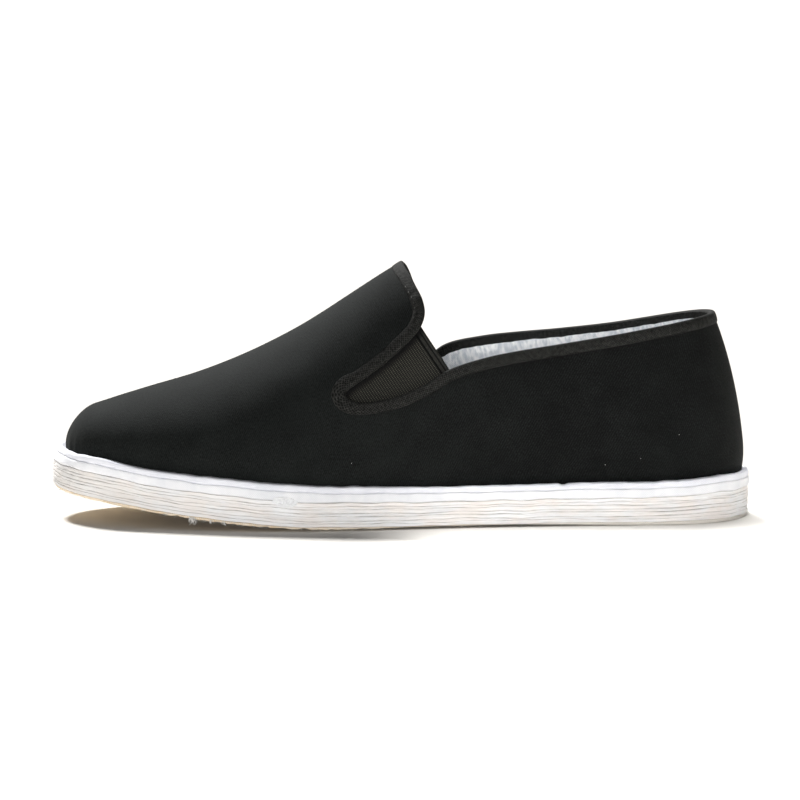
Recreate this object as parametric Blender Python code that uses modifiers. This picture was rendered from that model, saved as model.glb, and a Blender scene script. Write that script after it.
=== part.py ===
"""A left men's cloth shoe: black twill upper on a thick white sole of layered cloth.

Metres, +Z up.  The shoe stands on Z = 0 with its toe towards -X and its heel towards +X.
A left shoe seen from above has its outer (lateral) side at -Y and its inner (medial) side at +Y.
The origin is under the middle of the sole.
"""
import math

import bmesh
import bpy
import numpy as np

MM = 0.001

# Driving sizes
SOLE_LENGTH = 282.0 * MM
TOE_X = -SOLE_LENGTH / 2
HEEL_X = SOLE_LENGTH / 2
SOLE_TOE_ROUND = 34.0 * MM
SOLE_HEEL_ROUND = 30.0 * MM
TOE_SPRING = 12.7 * MM
SPRING_START_X = -25.0 * MM
SPRING_POWER = 1.55
HEEL_RISE = 1.0 * MM
HEEL_RISE_START_X = 90.0 * MM

# The sole's layers from the floor up, with the gap that touching pieces keep
GAP = 0.3 * MM
BOTTOM_PLY_THICK = 1.2 * MM
CORE_THICK = 9.4 * MM
LOWER_BAND_THICK = 3.4 * MM
UPPER_BAND_THICK = 2.2 * MM
CORE_BASE = BOTTOM_PLY_THICK + GAP
LOWER_BAND_BASE = CORE_BASE + CORE_THICK + GAP
UPPER_BAND_BASE = LOWER_BAND_BASE + LOWER_BAND_THICK + GAP
SOLE_THICK = UPPER_BAND_BASE + UPPER_BAND_THICK

# The core's stitched plies, seen as ribs on its side
CORE_PLIES = 5
PLY_GROOVE = 0.45 * MM
PLY_GROOVE_SHARE = 0.16
BAND_EDGE_ROUND = 0.8 * MM
BAND_ROUND_IN_SHARE = 0.2
BAND_ROUND_UP_SHARE = 0.55
UPPER_BAND_INSET = 0.2 * MM
CORE_INSET = 0.5 * MM
BOTTOM_PLY_INSET = 0.9 * MM
RING_STEPS = 32

# The upper
UPPER_WALL = 1.7 * MM
TOE_LEDGE = 5.2 * MM
SIDE_LEDGE = 3.6 * MM
HEEL_LEDGE = 1.7 * MM
UPPER_TOE_ROUND = 29.0 * MM
UPPER_HEEL_ROUND = 29.0 * MM
TOE_WALL_ROUND = 14.0 * MM
TUCK_IN = 1.3 * MM
TUCK_HEIGHT = 11.0 * MM
TUCK_FULL_HEIGHT = 40.0 * MM
DOME_END_X = 13.0 * MM
DOME_BLEND_RUN = 30.0 * MM
HEEL_FAN_X = 96.0 * MM
DOME_STATIONS = 23
DOME_STEP_POWER = 0.85
WALL_STATIONS = 9
FAN_STATIONS = 12
DOME_ARC_STEPS = 12
WALL_ARC_STEPS = 7
TOPLINE_SPARE = 5.0 * MM

# Overlays and inner pieces
BINDING_WIDTH = 4.5 * MM
BINDING_THICK = 0.6 * MM
GUSSET_THICK = 1.2 * MM
INSOLE_THICK = 1.6 * MM
CUTTER_HALF_WIDTH = 90.0 * MM
ABOVE_SHOE_Z = 150.0 * MM
BELOW_SHOE_Z = -20.0 * MM
BEHIND_SHOE_X = 170.0 * MM
BEFORE_SHOE_X = -170.0 * MM
MIDDLE_OVERLAP = 0.05 * MM
SIDES = ((-1, "lateral"), (1, "medial"))
PATH_STEPS = 3
OFFSET_KEEP_SHARE = 0.97
OFFSET_MIN_STEP = 0.6 * MM
WELD_DISTANCE = 0.0001 * MM
SHARP_ANGLE = math.radians(35)

# Plan of the sole, one row for each section, in millimetres:
# distance from the toe tip, Y of the middle of the section, half of its width
SOLE_PLAN = [
    (0.0, 6.6, 35.5),
    (25.0, 6.2, 36.8),
    (45.0, 4.0, 41.8),
    (70.0, 1.4, 47.0),
    (95.0, -0.1, 48.6),
    (125.0, -1.8, 45.2),
    (155.0, -2.5, 39.2),
    (185.0, -1.6, 35.5),
    (215.0, 0.1, 34.1),
    (240.0, 1.1, 33.6),
    (262.0, 1.5, 32.0),
    (282.0, 1.6, 31.0),
]

# Sections of the upper, one row each, in millimetres: distance from the sole's toe tip,
# height of its crest above the sole, Y of the crest, then the powers of the section's curve
# upwards and inwards (2 is an ellipse, more is boxier)
UPPER_SECTIONS = [
    (5.0, 13.0, 6.6, 2.3, 2.2),
    (19.0, 19.2, 6.2, 2.3, 2.2),
    (27.0, 23.0, 5.8, 2.3, 2.1),
    (39.0, 28.4, 5.4, 2.2, 2.0),
    (60.0, 37.3, 4.6, 2.1, 2.0),
    (84.0, 49.4, 3.8, 2.0, 2.0),
    (100.0, 58.7, 3.4, 2.0, 2.0),
    (121.0, 72.0, 3.1, 2.0, 2.0),
    (141.0, 84.5, 2.8, 2.1, 2.0),
    (154.0, 92.0, 2.6, 2.3, 2.0),
    (175.0, 96.0, 2.2, 2.9, 2.0),
    (206.0, 96.0, 1.8, 3.2, 2.0),
    (237.0, 95.0, 1.6, 2.9, 2.0),
    (262.0, 95.5, 1.6, 2.3, 2.0),
    (282.0, 96.0, 1.6, 1.8, 2.0),
]

# The opening's edge seen from the side, in millimetres, one row for each turn of the edge:
# X and height above the floor on the lateral side, then how much further forward and how much
# higher the medial side's edge lies.  It starts above the crest, passes the tongue tip and the
# lobe, and goes down the slit, round the notch and back along the collar to behind the heel
TONGUE_EDGE = [
    (-3.2, 108.4, 0.0, 0.0),
    (1.3, 102.8, 0.0, 0.0),
    (4.6, 99.8, 0.7, 0.0),
    (7.8, 95.6, 2.0, 0.0),
    (10.5, 91.4, 3.5, 0.0),
    (12.1, 86.6, 4.7, 0.0),
    (11.8, 82.8, 4.9, 0.0),
    (10.2, 79.6, 4.8, 0.0),
]
SLIT_EDGE = [
    (7.6, 76.6, 4.5, 0.0),
    (-1.0, 68.4, 4.3, 0.0),
    (-10.0, 61.5, 4.3, 0.0),
    (-17.0, 56.9, 4.3, 0.0),
    (-19.7, 54.4, 4.3, 0.0),
    (-18.9, 52.4, 4.3, 0.0),
]
NOTCH_EDGE = [
    (-13.9, 50.6, 4.3, 0.0),
    (-5.7, 51.3, 4.3, 0.2),
    (2.4, 53.3, 4.3, 0.6),
    (12.4, 57.6, 4.3, 1.2),
]
COLLAR_EDGE = [
    (22.0, 63.4, 4.2, 2.0),
    (36.0, 67.7, 3.2, 2.1),
    (49.0, 70.2, 2.0, 1.4),
    (65.2, 72.6, 1.0, 0.5),
    (87.2, 76.0, 0.3, -0.2),
    (109.4, 79.9, 0.0, -0.1),
    (127.0, 82.7, 0.0, 0.0),
    (150.0, 84.5, 0.0, 0.0),
]

# The elastic seen from the side, in millimetres: X and height, from the top of its free edge.
# The medial one lies further forward, as the medial notch does
GUSSET_OUTLINE = [
    (7.3, 84.7),
    (3.8, 81.6),
    (-20.6, 61.4),
    (-25.0, 55.4),
    (-22.4, 49.6),
    (-14.1, 46.5),
    (2.2, 49.4),
    (13.0, 53.2),
    (23.6, 60.8),
]
MEDIAL_FORWARD = 5.6 * MM

# Colour (linear) and roughness of each cloth
CLOTHS = {
    "twill": ((0.013, 0.013, 0.013, 1.0), 0.95),
    "binding": ((0.028, 0.028, 0.026, 1.0), 0.85),
    "elastic": ((0.024, 0.024, 0.023, 1.0), 0.8),
    "white_cloth": ((0.80, 0.82, 0.87, 1.0), 0.9),
    "ply_cloth": ((0.76, 0.74, 0.70, 1.0), 0.95),
    "cream_cloth": ((0.72, 0.60, 0.42, 1.0), 0.95),
    "insole_cloth": ((0.74, 0.74, 0.72, 1.0), 0.95),
}


def smooth_value(rows, column, place):
    """Read one column of a table at a place, on a smooth curve through its rows."""
    places = np.array([row[0] for row in rows])
    values = np.array([row[column] for row in rows])
    slopes = np.gradient(values, places)
    place = min(max(place, places[0]), places[-1])
    row = int(np.clip(np.searchsorted(places, place) - 1, 0, len(rows) - 2))
    span = places[row + 1] - places[row]
    t = (place - places[row]) / span
    start = values[row] * (1 + 2 * t) * (1 - t) ** 2 + slopes[row] * span * t * (1 - t) ** 2
    end = values[row + 1] * t * t * (3 - 2 * t) - slopes[row + 1] * span * t * t * (1 - t)
    return float(start + end)


def round_end(distance, radius):
    """Share of the full size at a distance inside a round end."""
    if distance >= radius:
        return 1.0
    return math.sqrt(max(0.0, 1.0 - (1.0 - distance / radius) ** 2))


def from_toe(x):
    """Distance from the sole's toe tip in millimetres, the place column of the tables."""
    return (x - TOE_X) / MM


def spring_height(x):
    """Height of the sole's underside, flat to the ball and rising to the toe."""
    run = (SPRING_START_X - x) / (SPRING_START_X - TOE_X)
    return TOE_SPRING * max(0.0, run) ** SPRING_POWER


def heel_rise(x):
    """How much thicker the sole is towards the back of the heel."""
    share = min(1.0, max(0.0, (x - HEEL_RISE_START_X) / (HEEL_X - HEEL_RISE_START_X)))
    return HEEL_RISE * share * share * (3 - 2 * share)


def layer_z(x, height):
    """Z of a level that lies at this height in the flat middle of the sole."""
    return spring_height(x) + height + heel_rise(x) * min(1.0, height / LOWER_BAND_BASE)


def outline_half(x, toe_inset, side_inset, heel_inset, toe_round, heel_round):
    """Half of the width at X of the sole's outline, drawn in by the insets."""
    full = smooth_value(SOLE_PLAN, 2, from_toe(x)) * MM - side_inset
    toe_share = round_end(x - TOE_X - toe_inset, toe_round)
    heel_share = round_end(HEEL_X - heel_inset - x, heel_round)
    return full * toe_share * heel_share


def middle_y(x):
    return smooth_value(SOLE_PLAN, 1, from_toe(x)) * MM


def plan_ring(inset):
    """Points of the sole's outline, drawn in by an inset: toe, lateral side, heel, medial side."""
    start = TOE_X + inset
    length = SOLE_LENGTH - 2 * inset
    lateral = []
    medial = []
    for step in range(RING_STEPS + 1):
        x = start + length * 0.5 * (1 - math.cos(math.pi * step / RING_STEPS))
        half = outline_half(x, inset, inset, inset, SOLE_TOE_ROUND - inset, SOLE_HEEL_ROUND - inset)
        lateral.append((x, middle_y(x) - half))
        medial.append((x, middle_y(x) + half))
    return lateral, medial


def collection(name):
    made = bpy.data.collections.new(name)
    bpy.context.scene.collection.children.link(made)
    return made


def add_material(obj, cloth):
    colour, roughness = CLOTHS[cloth]
    material = bpy.data.materials.new(obj.name + "_" + cloth)
    material.use_nodes = True
    shader = material.node_tree.nodes["Principled BSDF"]
    shader.inputs["Base Color"].default_value = colour
    shader.inputs["Roughness"].default_value = roughness
    shader.inputs["Metallic"].default_value = 0.0
    obj.data.materials.append(material)


def object_from(mesh_data, name, home):
    """Make an object from a bmesh, smooth where it is round."""
    bmesh.ops.recalc_face_normals(mesh_data, faces=mesh_data.faces[:])
    mesh = bpy.data.meshes.new(name)
    mesh_data.to_mesh(mesh)
    mesh_data.free()
    mesh.shade_smooth()
    mesh.set_sharp_from_angle(angle=SHARP_ANGLE)
    obj = bpy.data.objects.new(name, mesh)
    home.objects.link(obj)
    return obj


def stacked_layer(name, levels, home):
    """Loft one sole layer: each level is an inset of the outline and a height over the underside."""
    work = bmesh.new()
    rings = []
    for inset, height in levels:
        lateral, medial = plan_ring(inset)
        outline = lateral + medial[-2:0:-1]
        ring = [work.verts.new((x, y, layer_z(x, height))) for x, y in outline]
        rings.append(ring)
    count = len(rings[0])
    for lower, upper in zip(rings, rings[1:]):
        for i in range(count):
            after = (i + 1) % count
            work.faces.new((lower[i], lower[after], upper[after], upper[i]))
    for ring in (rings[0], rings[-1]):
        for i in range(RING_STEPS):
            # Lateral points run up from the toe, and their medial partners run down to it
            left = ring[i]
            left_next = ring[i + 1]
            right = ring[-i % count]
            right_next = ring[(-i - 1) % count]
            corners = [left, left_next, right_next, right]
            if i == 0:
                corners = [left, left_next, right_next]
            if i == RING_STEPS - 1:
                corners = [left, left_next, right]
            work.faces.new(corners)
    return object_from(work, name, home)


def bound_layer_levels(base, thick, inset):
    """A cloth layer whose edge is rolled over: its side bows out between two round corners."""
    corner_in = inset + BAND_ROUND_IN_SHARE * BAND_EDGE_ROUND
    corner_up = BAND_ROUND_UP_SHARE * BAND_EDGE_ROUND
    return [
        (inset + BAND_EDGE_ROUND, base),
        (corner_in, base + corner_up),
        (inset, base + thick / 2),
        (corner_in, base + thick - corner_up),
        (inset + BAND_EDGE_ROUND, base + thick),
    ]


def core_levels():
    """The stitched plies: each stands out, with a groove between it and the next."""
    pitch = CORE_THICK / CORE_PLIES
    levels = []
    for ply in range(CORE_PLIES):
        base = CORE_BASE + ply * pitch
        levels.append((CORE_INSET + PLY_GROOVE, base))
        levels.append((CORE_INSET, base + PLY_GROOVE_SHARE * pitch * 2))
        levels.append((CORE_INSET, base + pitch * (1 - PLY_GROOVE_SHARE)))
    levels.append((CORE_INSET + PLY_GROOVE, CORE_BASE + CORE_THICK))
    return levels


def build_sole(home):
    bottom = stacked_layer(
        "sole_bottom_ply",
        [(BOTTOM_PLY_INSET + GAP, 0.0), (BOTTOM_PLY_INSET, GAP), (BOTTOM_PLY_INSET, BOTTOM_PLY_THICK)],
        home,
    )
    add_material(bottom, "cream_cloth")
    core = stacked_layer("sole_core", core_levels(), home)
    add_material(core, "ply_cloth")
    lower_levels = bound_layer_levels(LOWER_BAND_BASE, LOWER_BAND_THICK, 0.0)
    lower = stacked_layer("sole_band_lower", lower_levels, home)
    add_material(lower, "white_cloth")
    upper_levels = bound_layer_levels(UPPER_BAND_BASE, UPPER_BAND_THICK, UPPER_BAND_INSET)
    upper = stacked_layer("sole_band_upper", upper_levels, home)
    add_material(upper, "white_cloth")


def upper_half(x):
    return outline_half(x, TOE_LEDGE, SIDE_LEDGE, HEEL_LEDGE, UPPER_TOE_ROUND, UPPER_HEEL_ROUND)


def section_values(x):
    """Crest height, crest Y and the two powers of the upper's section at X."""
    place = from_toe(x)
    height = smooth_value(UPPER_SECTIONS, 1, place) * MM
    height *= round_end(x - TOE_X - TOE_LEDGE, TOE_WALL_ROUND)
    crest_y = smooth_value(UPPER_SECTIONS, 2, place) * MM
    rise_power = smooth_value(UPPER_SECTIONS, 3, place)
    reach_power = smooth_value(UPPER_SECTIONS, 4, place)
    return height, crest_y, rise_power, reach_power


def wall_point(x, side, angle):
    """A point of the upper's outer face: the section at X, a side (-1 or +1), and the angle
    round the section from the sole (0) to the crest (90 degrees)."""
    height, crest_y, rise_power, reach_power = section_values(x)
    foot_y = middle_y(x) + side * upper_half(x)
    centre_x = min(x, HEEL_FAN_X)
    if x > HEEL_FAN_X:
        crest_y = section_values(HEEL_FAN_X)[1]
    reach = math.hypot(x - centre_x, foot_y - crest_y)
    rise = height * math.sin(angle) ** (2 / rise_power)
    out = reach * max(0.0, math.cos(angle)) ** (2 / reach_power)
    if rise < TUCK_HEIGHT:
        tuck = TUCK_IN * min(1.0, height / TUCK_FULL_HEIGHT) * (1 - rise / TUCK_HEIGHT) ** 2
        out = max(0.0, out - tuck)
    share = out / reach
    floor_z = layer_z(x, SOLE_THICK) + GAP
    return (
        centre_x + (x - centre_x) * share,
        crest_y + (foot_y - crest_y) * share,
        floor_z + rise,
    )


def top_angle(x):
    """The angle at which the wall has cleared the collar at X."""
    height, crest_y, rise_power, reach_power = section_values(x)
    edge_z = smooth_value(COLLAR_EDGE, 1, x / MM) * MM + TOPLINE_SPARE
    share = (edge_z - SOLE_THICK) / height
    meet_angle = math.pi / 2 * WALL_ARC_STEPS / DOME_ARC_STEPS
    collar_angle = math.asin(min(1.0, share) ** (rise_power / 2))
    blend = min(1.0, max(0.0, (x - DOME_END_X) / DOME_BLEND_RUN))
    blend = blend * blend * (3 - 2 * blend)
    return meet_angle * (1 - blend) + collar_angle * blend


def upper_stations():
    """X of each section: the dome from the toe, then the walls, then the fan round the heel."""
    toe = TOE_X + TOE_LEDGE
    heel = HEEL_X - HEEL_LEDGE
    dome = []
    for step in range(1, DOME_STATIONS + 1):
        share = 1 - math.cos(0.5 * math.pi * (step / DOME_STATIONS) ** DOME_STEP_POWER)
        dome.append(toe + (DOME_END_X - toe) * share)
    walls = []
    for step in range(1, WALL_STATIONS + 1):
        walls.append(DOME_END_X + (HEEL_FAN_X - DOME_END_X) * step / WALL_STATIONS)
    fan = []
    for step in range(1, FAN_STATIONS + 1):
        fan.append(HEEL_FAN_X + (heel - HEEL_FAN_X) * math.sin(0.5 * math.pi * step / FAN_STATIONS))
    return dome, walls + fan


def upper_sheet(name, raise_by, home):
    """The upper's face as an open sheet, moved outwards along its normals."""
    dome, rear = upper_stations()
    work = bmesh.new()
    quarter = math.pi / 2
    toe = TOE_X + TOE_LEDGE
    tip = work.verts.new((toe, section_values(toe)[1], layer_z(toe, SOLE_THICK) + GAP))
    arches = []
    for x in dome:
        arch = []
        for step in range(2 * DOME_ARC_STEPS + 1):
            side = -1 if step <= DOME_ARC_STEPS else 1
            angle = quarter * (1 - abs(step - DOME_ARC_STEPS) / DOME_ARC_STEPS)
            arch.append(work.verts.new(wall_point(x, side, angle)))
        arches.append(arch)
    for first, second in zip(arches[0], arches[0][1:]):
        work.faces.new((tip, first, second))
    for front, back in zip(arches, arches[1:]):
        for step in range(2 * DOME_ARC_STEPS):
            work.faces.new((front[step], back[step], back[step + 1], front[step + 1]))
    # The walls run from the lateral end of the dome round the heel to its medial end
    columns = [arches[-1][: WALL_ARC_STEPS + 1]]
    for side in (-1, 1):
        places = rear if side < 0 else rear[-2::-1]
        for x in places:
            limit = top_angle(x)
            column = []
            for step in range(WALL_ARC_STEPS + 1):
                column.append(work.verts.new(wall_point(x, side, limit * step / WALL_ARC_STEPS)))
            columns.append(column)
    columns.append(arches[-1][: -WALL_ARC_STEPS - 2 : -1])
    for front, back in zip(columns, columns[1:]):
        for step in range(WALL_ARC_STEPS):
            work.faces.new((front[step], back[step], back[step + 1], front[step + 1]))
    bmesh.ops.recalc_face_normals(work, faces=work.faces[:])
    work.normal_update()
    highest = max(work.faces, key=lambda face: face.calc_center_median().z)
    if highest.normal.z < 0:
        bmesh.ops.reverse_faces(work, faces=work.faces[:])
        work.normal_update()
    moved = [vert.co + vert.normal * raise_by for vert in work.verts]
    for vert, place in zip(work.verts, moved):
        vert.co = place
    mesh = bpy.data.meshes.new(name)
    work.to_mesh(mesh)
    work.free()
    mesh.shade_smooth()
    obj = bpy.data.objects.new(name, mesh)
    home.objects.link(obj)
    return obj


def thicken(obj, thick):
    """Give a sheet its wall, inwards from its face."""
    solid = obj.modifiers.new("wall", "SOLIDIFY")
    solid.thickness = thick
    solid.offset = -1.0
    solid.use_even_offset = True


def cut(obj, operation, cutter):
    boolean = obj.modifiers.new(operation.lower() + "_" + cutter.name, "BOOLEAN")
    boolean.operation = operation
    boolean.solver = "EXACT"
    boolean.object = cutter


def opening_path(side):
    """Points on a smooth curve along the opening's edge on one side, in metres."""
    rows = TONGUE_EDGE + SLIT_EDGE + NOTCH_EDGE + COLLAR_EDGE
    medial = 1.0 if side > 0 else 0.0
    table = []
    for number, (x, z, forward, rise) in enumerate(rows):
        table.append((number, x - medial * forward, z + medial * rise))
    points = []
    for step in range((len(rows) - 1) * PATH_STEPS + 1):
        place = step / PATH_STEPS
        points.append((smooth_value(table, 1, place) * MM, smooth_value(table, 2, place) * MM))
    return points


def offset_path(points, distance):
    """The path moved to its left, seen with X to the right and Z up, without its small loops."""
    moved = []
    for i, (x, z) in enumerate(points):
        before = points[max(i - 1, 0)]
        after = points[min(i + 1, len(points) - 1)]
        run_x = after[0] - before[0]
        run_z = after[1] - before[1]
        length = math.hypot(run_x, run_z)
        place = (x - run_z / length * distance, z + run_x / length * distance)
        nearest = min(math.dist(place, point) for point in points)
        far_enough = not moved or math.dist(place, moved[-1]) > OFFSET_MIN_STEP
        if nearest > abs(distance) * OFFSET_KEEP_SHARE and far_enough:
            moved.append(place)
    return moved


def side_prism(name, outline, y_low, y_high, home):
    """A flat outline in the side view, drawn out along Y, as a mesh."""
    curve = bpy.data.curves.new(name + "_outline", "CURVE")
    curve.dimensions = "2D"
    curve.fill_mode = "BOTH"
    curve.extrude = (y_high - y_low) / 2
    spline = curve.splines.new("POLY")
    spline.points.add(len(outline) - 1)
    for point, (x, z) in zip(spline.points, outline):
        point.co = (x, z, 0.0, 1.0)
    spline.use_cyclic_u = True
    flat = bpy.data.objects.new(name + "_outline", curve)
    home.objects.link(flat)
    flat.rotation_euler = (math.pi / 2, 0.0, 0.0)
    flat.location = (0.0, (y_low + y_high) / 2, 0.0)
    bpy.context.view_layer.update()
    evaluated = flat.evaluated_get(bpy.context.evaluated_depsgraph_get())
    mesh = bpy.data.meshes.new_from_object(evaluated)
    mesh.name = name
    work = bmesh.new()
    work.from_mesh(mesh)
    bmesh.ops.remove_doubles(work, verts=work.verts[:], dist=WELD_DISTANCE)
    bmesh.ops.recalc_face_normals(work, faces=work.faces[:])
    work.to_mesh(mesh)
    work.free()
    obj = bpy.data.objects.new(name, mesh)
    obj.matrix_world = flat.matrix_world.copy()
    home.objects.link(obj)
    bpy.data.objects.remove(flat)
    obj.hide_render = True
    obj.display_type = "WIRE"
    return obj


def side_reach(side):
    """The lowest and highest Y of a cutter for one side; both pass the middle a little."""
    if side < 0:
        return -CUTTER_HALF_WIDTH, MIDDLE_OVERLAP
    return -MIDDLE_OVERLAP, CUTTER_HALF_WIDTH


def opening_cutters(cutters):
    """What is open: all that lies above the edge, one prism for each side."""
    made = []
    for side, side_name in SIDES:
        edge = opening_path(side)
        outline = edge + [
            (BEHIND_SHOE_X, edge[-1][1]),
            (BEHIND_SHOE_X, ABOVE_SHOE_Z),
            (edge[0][0], ABOVE_SHOE_Z),
        ]
        y_low, y_high = side_reach(side)
        made.append(side_prism("opening_" + side_name, outline, y_low, y_high, cutters))
    return made


def cloth_cutters(cutters):
    """What lies below the binding, one prism for each side."""
    made = []
    for side, side_name in SIDES:
        band_edge = offset_path(opening_path(side), -BINDING_WIDTH)
        outline = band_edge + [
            (BEHIND_SHOE_X, band_edge[-1][1]),
            (BEHIND_SHOE_X, BELOW_SHOE_Z),
            (BEFORE_SHOE_X, BELOW_SHOE_Z),
            (BEFORE_SHOE_X, ABOVE_SHOE_Z),
            (band_edge[0][0], ABOVE_SHOE_Z),
        ]
        y_low, y_high = side_reach(side)
        made.append(side_prism("below_binding_" + side_name, outline, y_low, y_high, cutters))
    return made


def build_upper(home, openings):
    upper = upper_sheet("upper", 0.0, home)
    thicken(upper, UPPER_WALL)
    for opening in openings:
        cut(upper, "DIFFERENCE", opening)
    add_material(upper, "twill")


def build_binding(home, openings, cutters):
    """The tape round the whole opening, an overlay on the upper's outer face."""
    binding = upper_sheet("opening_binding", GAP + BINDING_THICK, home)
    thicken(binding, BINDING_THICK)
    for cutter in openings + cloth_cutters(cutters):
        cut(binding, "DIFFERENCE", cutter)
    add_material(binding, "binding")


def build_gussets(home, cutters):
    """The elastic behind each notch, clear of the upper's inner face."""
    for side, side_name in SIDES:
        forward = MEDIAL_FORWARD if side > 0 else 0.0
        outline = [(x * MM - forward, z * MM) for x, z in GUSSET_OUTLINE]
        y_low, y_high = side_reach(side)
        region = side_prism("gusset_region_" + side_name, outline, y_low, y_high, cutters)
        gusset = upper_sheet("gusset_" + side_name, -UPPER_WALL - GAP, home)
        thicken(gusset, GUSSET_THICK)
        cut(gusset, "INTERSECT", region)
        add_material(gusset, "elastic")


def build_insole(home):
    """A cloth sock on the sole, clear of the upper's inner face all round."""
    draw_in = UPPER_WALL + TUCK_IN + GAP
    toe = TOE_X + TOE_LEDGE + draw_in
    heel = HEEL_X - HEEL_LEDGE - draw_in
    work = bmesh.new()
    sides = {}
    for level in (0, 1):
        for step in range(RING_STEPS + 1):
            x = toe + (heel - toe) * 0.5 * (1 - math.cos(math.pi * step / RING_STEPS))
            half = outline_half(
                x,
                TOE_LEDGE + draw_in,
                SIDE_LEDGE + draw_in,
                HEEL_LEDGE + draw_in,
                UPPER_TOE_ROUND - draw_in,
                UPPER_HEEL_ROUND - draw_in,
            )
            z = layer_z(x, SOLE_THICK) + GAP + level * INSOLE_THICK
            for side in (-1, 1):
                if step in (0, RING_STEPS) and side > 0:
                    sides[level, step, 1] = sides[level, step, -1]
                else:
                    sides[level, step, side] = work.verts.new((x, middle_y(x) + side * half, z))
    for step in range(RING_STEPS):
        for level in (0, 1):
            corners = [
                sides[level, step, -1],
                sides[level, step + 1, -1],
                sides[level, step + 1, 1],
                sides[level, step, 1],
            ]
            # At the toe and the heel the two sides share a point
            work.faces.new(list(dict.fromkeys(corners)))
        for side in (-1, 1):
            work.faces.new(
                (
                    sides[0, step, side],
                    sides[0, step + 1, side],
                    sides[1, step + 1, side],
                    sides[1, step, side],
                )
            )
    insole = object_from(work, "insole", home)
    add_material(insole, "insole_cloth")


def main():
    for obj in list(bpy.data.objects):
        bpy.data.objects.remove(obj, do_unlink=True)
    home = collection("cloth_shoe")
    cutters = collection("cutters")
    build_sole(home)
    build_insole(home)
    openings = opening_cutters(cutters)
    build_upper(home, openings)
    build_binding(home, openings, cutters)
    build_gussets(home, cutters)


main()
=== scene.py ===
import math
import random

import bmesh
import bpy
import numpy as np
from mathutils import Matrix, Vector, noise
from mathutils.bvhtree import BVHTree


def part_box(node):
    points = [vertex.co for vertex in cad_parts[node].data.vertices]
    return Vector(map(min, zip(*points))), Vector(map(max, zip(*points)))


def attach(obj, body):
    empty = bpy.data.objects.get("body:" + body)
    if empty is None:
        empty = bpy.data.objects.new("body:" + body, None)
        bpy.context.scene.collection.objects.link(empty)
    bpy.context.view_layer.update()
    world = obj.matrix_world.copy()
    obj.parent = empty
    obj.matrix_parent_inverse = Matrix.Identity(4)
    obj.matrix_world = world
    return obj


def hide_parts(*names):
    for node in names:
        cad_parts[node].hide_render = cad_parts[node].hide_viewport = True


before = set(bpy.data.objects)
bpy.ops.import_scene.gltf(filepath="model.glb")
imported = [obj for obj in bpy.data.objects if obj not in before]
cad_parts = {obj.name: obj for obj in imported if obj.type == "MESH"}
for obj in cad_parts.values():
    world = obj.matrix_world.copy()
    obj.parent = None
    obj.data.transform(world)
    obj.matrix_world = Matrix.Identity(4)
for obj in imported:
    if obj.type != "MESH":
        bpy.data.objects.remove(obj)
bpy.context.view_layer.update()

# A left men's cloth shoe, dressed: black serge upper with a white lining, bias tape round the
# opening, ribbed elastic behind the notches, and a white sole of layered cotton cloth.
# Metres, +Z up, toe towards -X, lateral side towards -Y.

MM = 0.001
QUARTER = math.pi / 2

# Sizes of the sole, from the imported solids
TOE_STRETCH = 0.7 * MM
TOE_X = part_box("sole_band_lower")[0].x - TOE_STRETCH
HEEL_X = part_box("sole_band_lower")[1].x
TOE_SPRING = 12.7 * MM
SPRING_START_X = -25.0 * MM
SPRING_POWER = 1.55
HEEL_RISE = 1.0 * MM
HEEL_RISE_START_X = 90.0 * MM
SOLE_TOE_ROUND = 34.0 * MM
SOLE_HEEL_ROUND = 30.0 * MM
# At the toe tip the top of the sole leans back and its middle stands out
TOE_LEAN = 3.0 * MM
TOE_BULGE = 0.9 * MM
TOE_LEAN_RUN = 20.0 * MM
RING_STEPS = 300

# Heights at which one layer of the sole meets the next, in its flat middle
TREAD_TOP = 1.35 * MM
CORE_TOP = 11.05 * MM
SECOND_LAYER_TOP = 14.75 * MM
SOLE_THICK = 17.1 * MM
LAYER_GAP = 0.04 * MM
# How far the top of the sole stands over its even line along the shoe, in millimetres: X, rise
TOP_LINE_RISE = [
    (-141.0, 0.0), (-131.0, 0.1), (-121.0, 0.8), (-112.0, 0.45), (-104.0, 0.0), (-85.0, 0.5),
    (-60.0, 0.95), (-45.0, 0.8), (-25.0, 0.55), (0.0, -0.15), (16.0, -0.65), (40.0, -0.55),
    (62.0, -0.3), (75.0, 0.0), (112.0, 0.0), (126.0, 0.5), (141.0, 0.5),
]
# Shares of that rise which the lines below the top one follow
SECOND_RISE_SHARE = 0.7
CORE_RISE_SHARE = 0.4

# Irregular waves round the sole: seed, longest and shortest wave and size, in millimetres
TREAD_WAVE = (11, 60, 9, 0.10)
CORE_WAVE = (12, 90, 14, 0.16)
SECOND_WAVE = (13, 90, 14, 0.14)
TOP_WAVE = (14, 60, 8, 0.08)
FRAY_WAVE = (16, 8, 2.4, 1.0)
SECOND_EDGE_WAVE = (17, 50, 6, 0.07)
TOP_EDGE_WAVE = (18, 50, 6, 0.08)
CORE_GAP_WAVE = (19, 90, 15, 1.0)
# The same for each ply, with the ply's number added to the seed
PLY_LINE_WAVE = (20, 120, 16, 0.13)
PLY_EDGE_WAVE = (30, 40, 3, 0.10)
PLY_CORNER_WAVE = (40, 50, 6, 0.2)

# Corners of a layer's edge: depth of the rounding, power of its curve, and steps up the edge
TREAD_CORNER = (0.3 * MM, 4, 6)
SECOND_CORNER = (0.5 * MM, 6, 14)
TOP_CORNER = (0.55 * MM, 4, 12)
PLY_RINGS = 10
PLY_CORNER_POWER = 9
PLY_CORNER_DEPTH = 0.42 * MM
PLY_CORNER_LIMITS = (0.1 * MM, 1.1 * MM)

# Insets of the layers from the outline
TREAD_INSET = 0.95 * MM
TREAD_HIDDEN_INSET = 8.0 * MM
CORE_INSET = 0.5 * MM
TOP_INSET = 0.15 * MM

CORE_PLIES = 7
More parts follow.
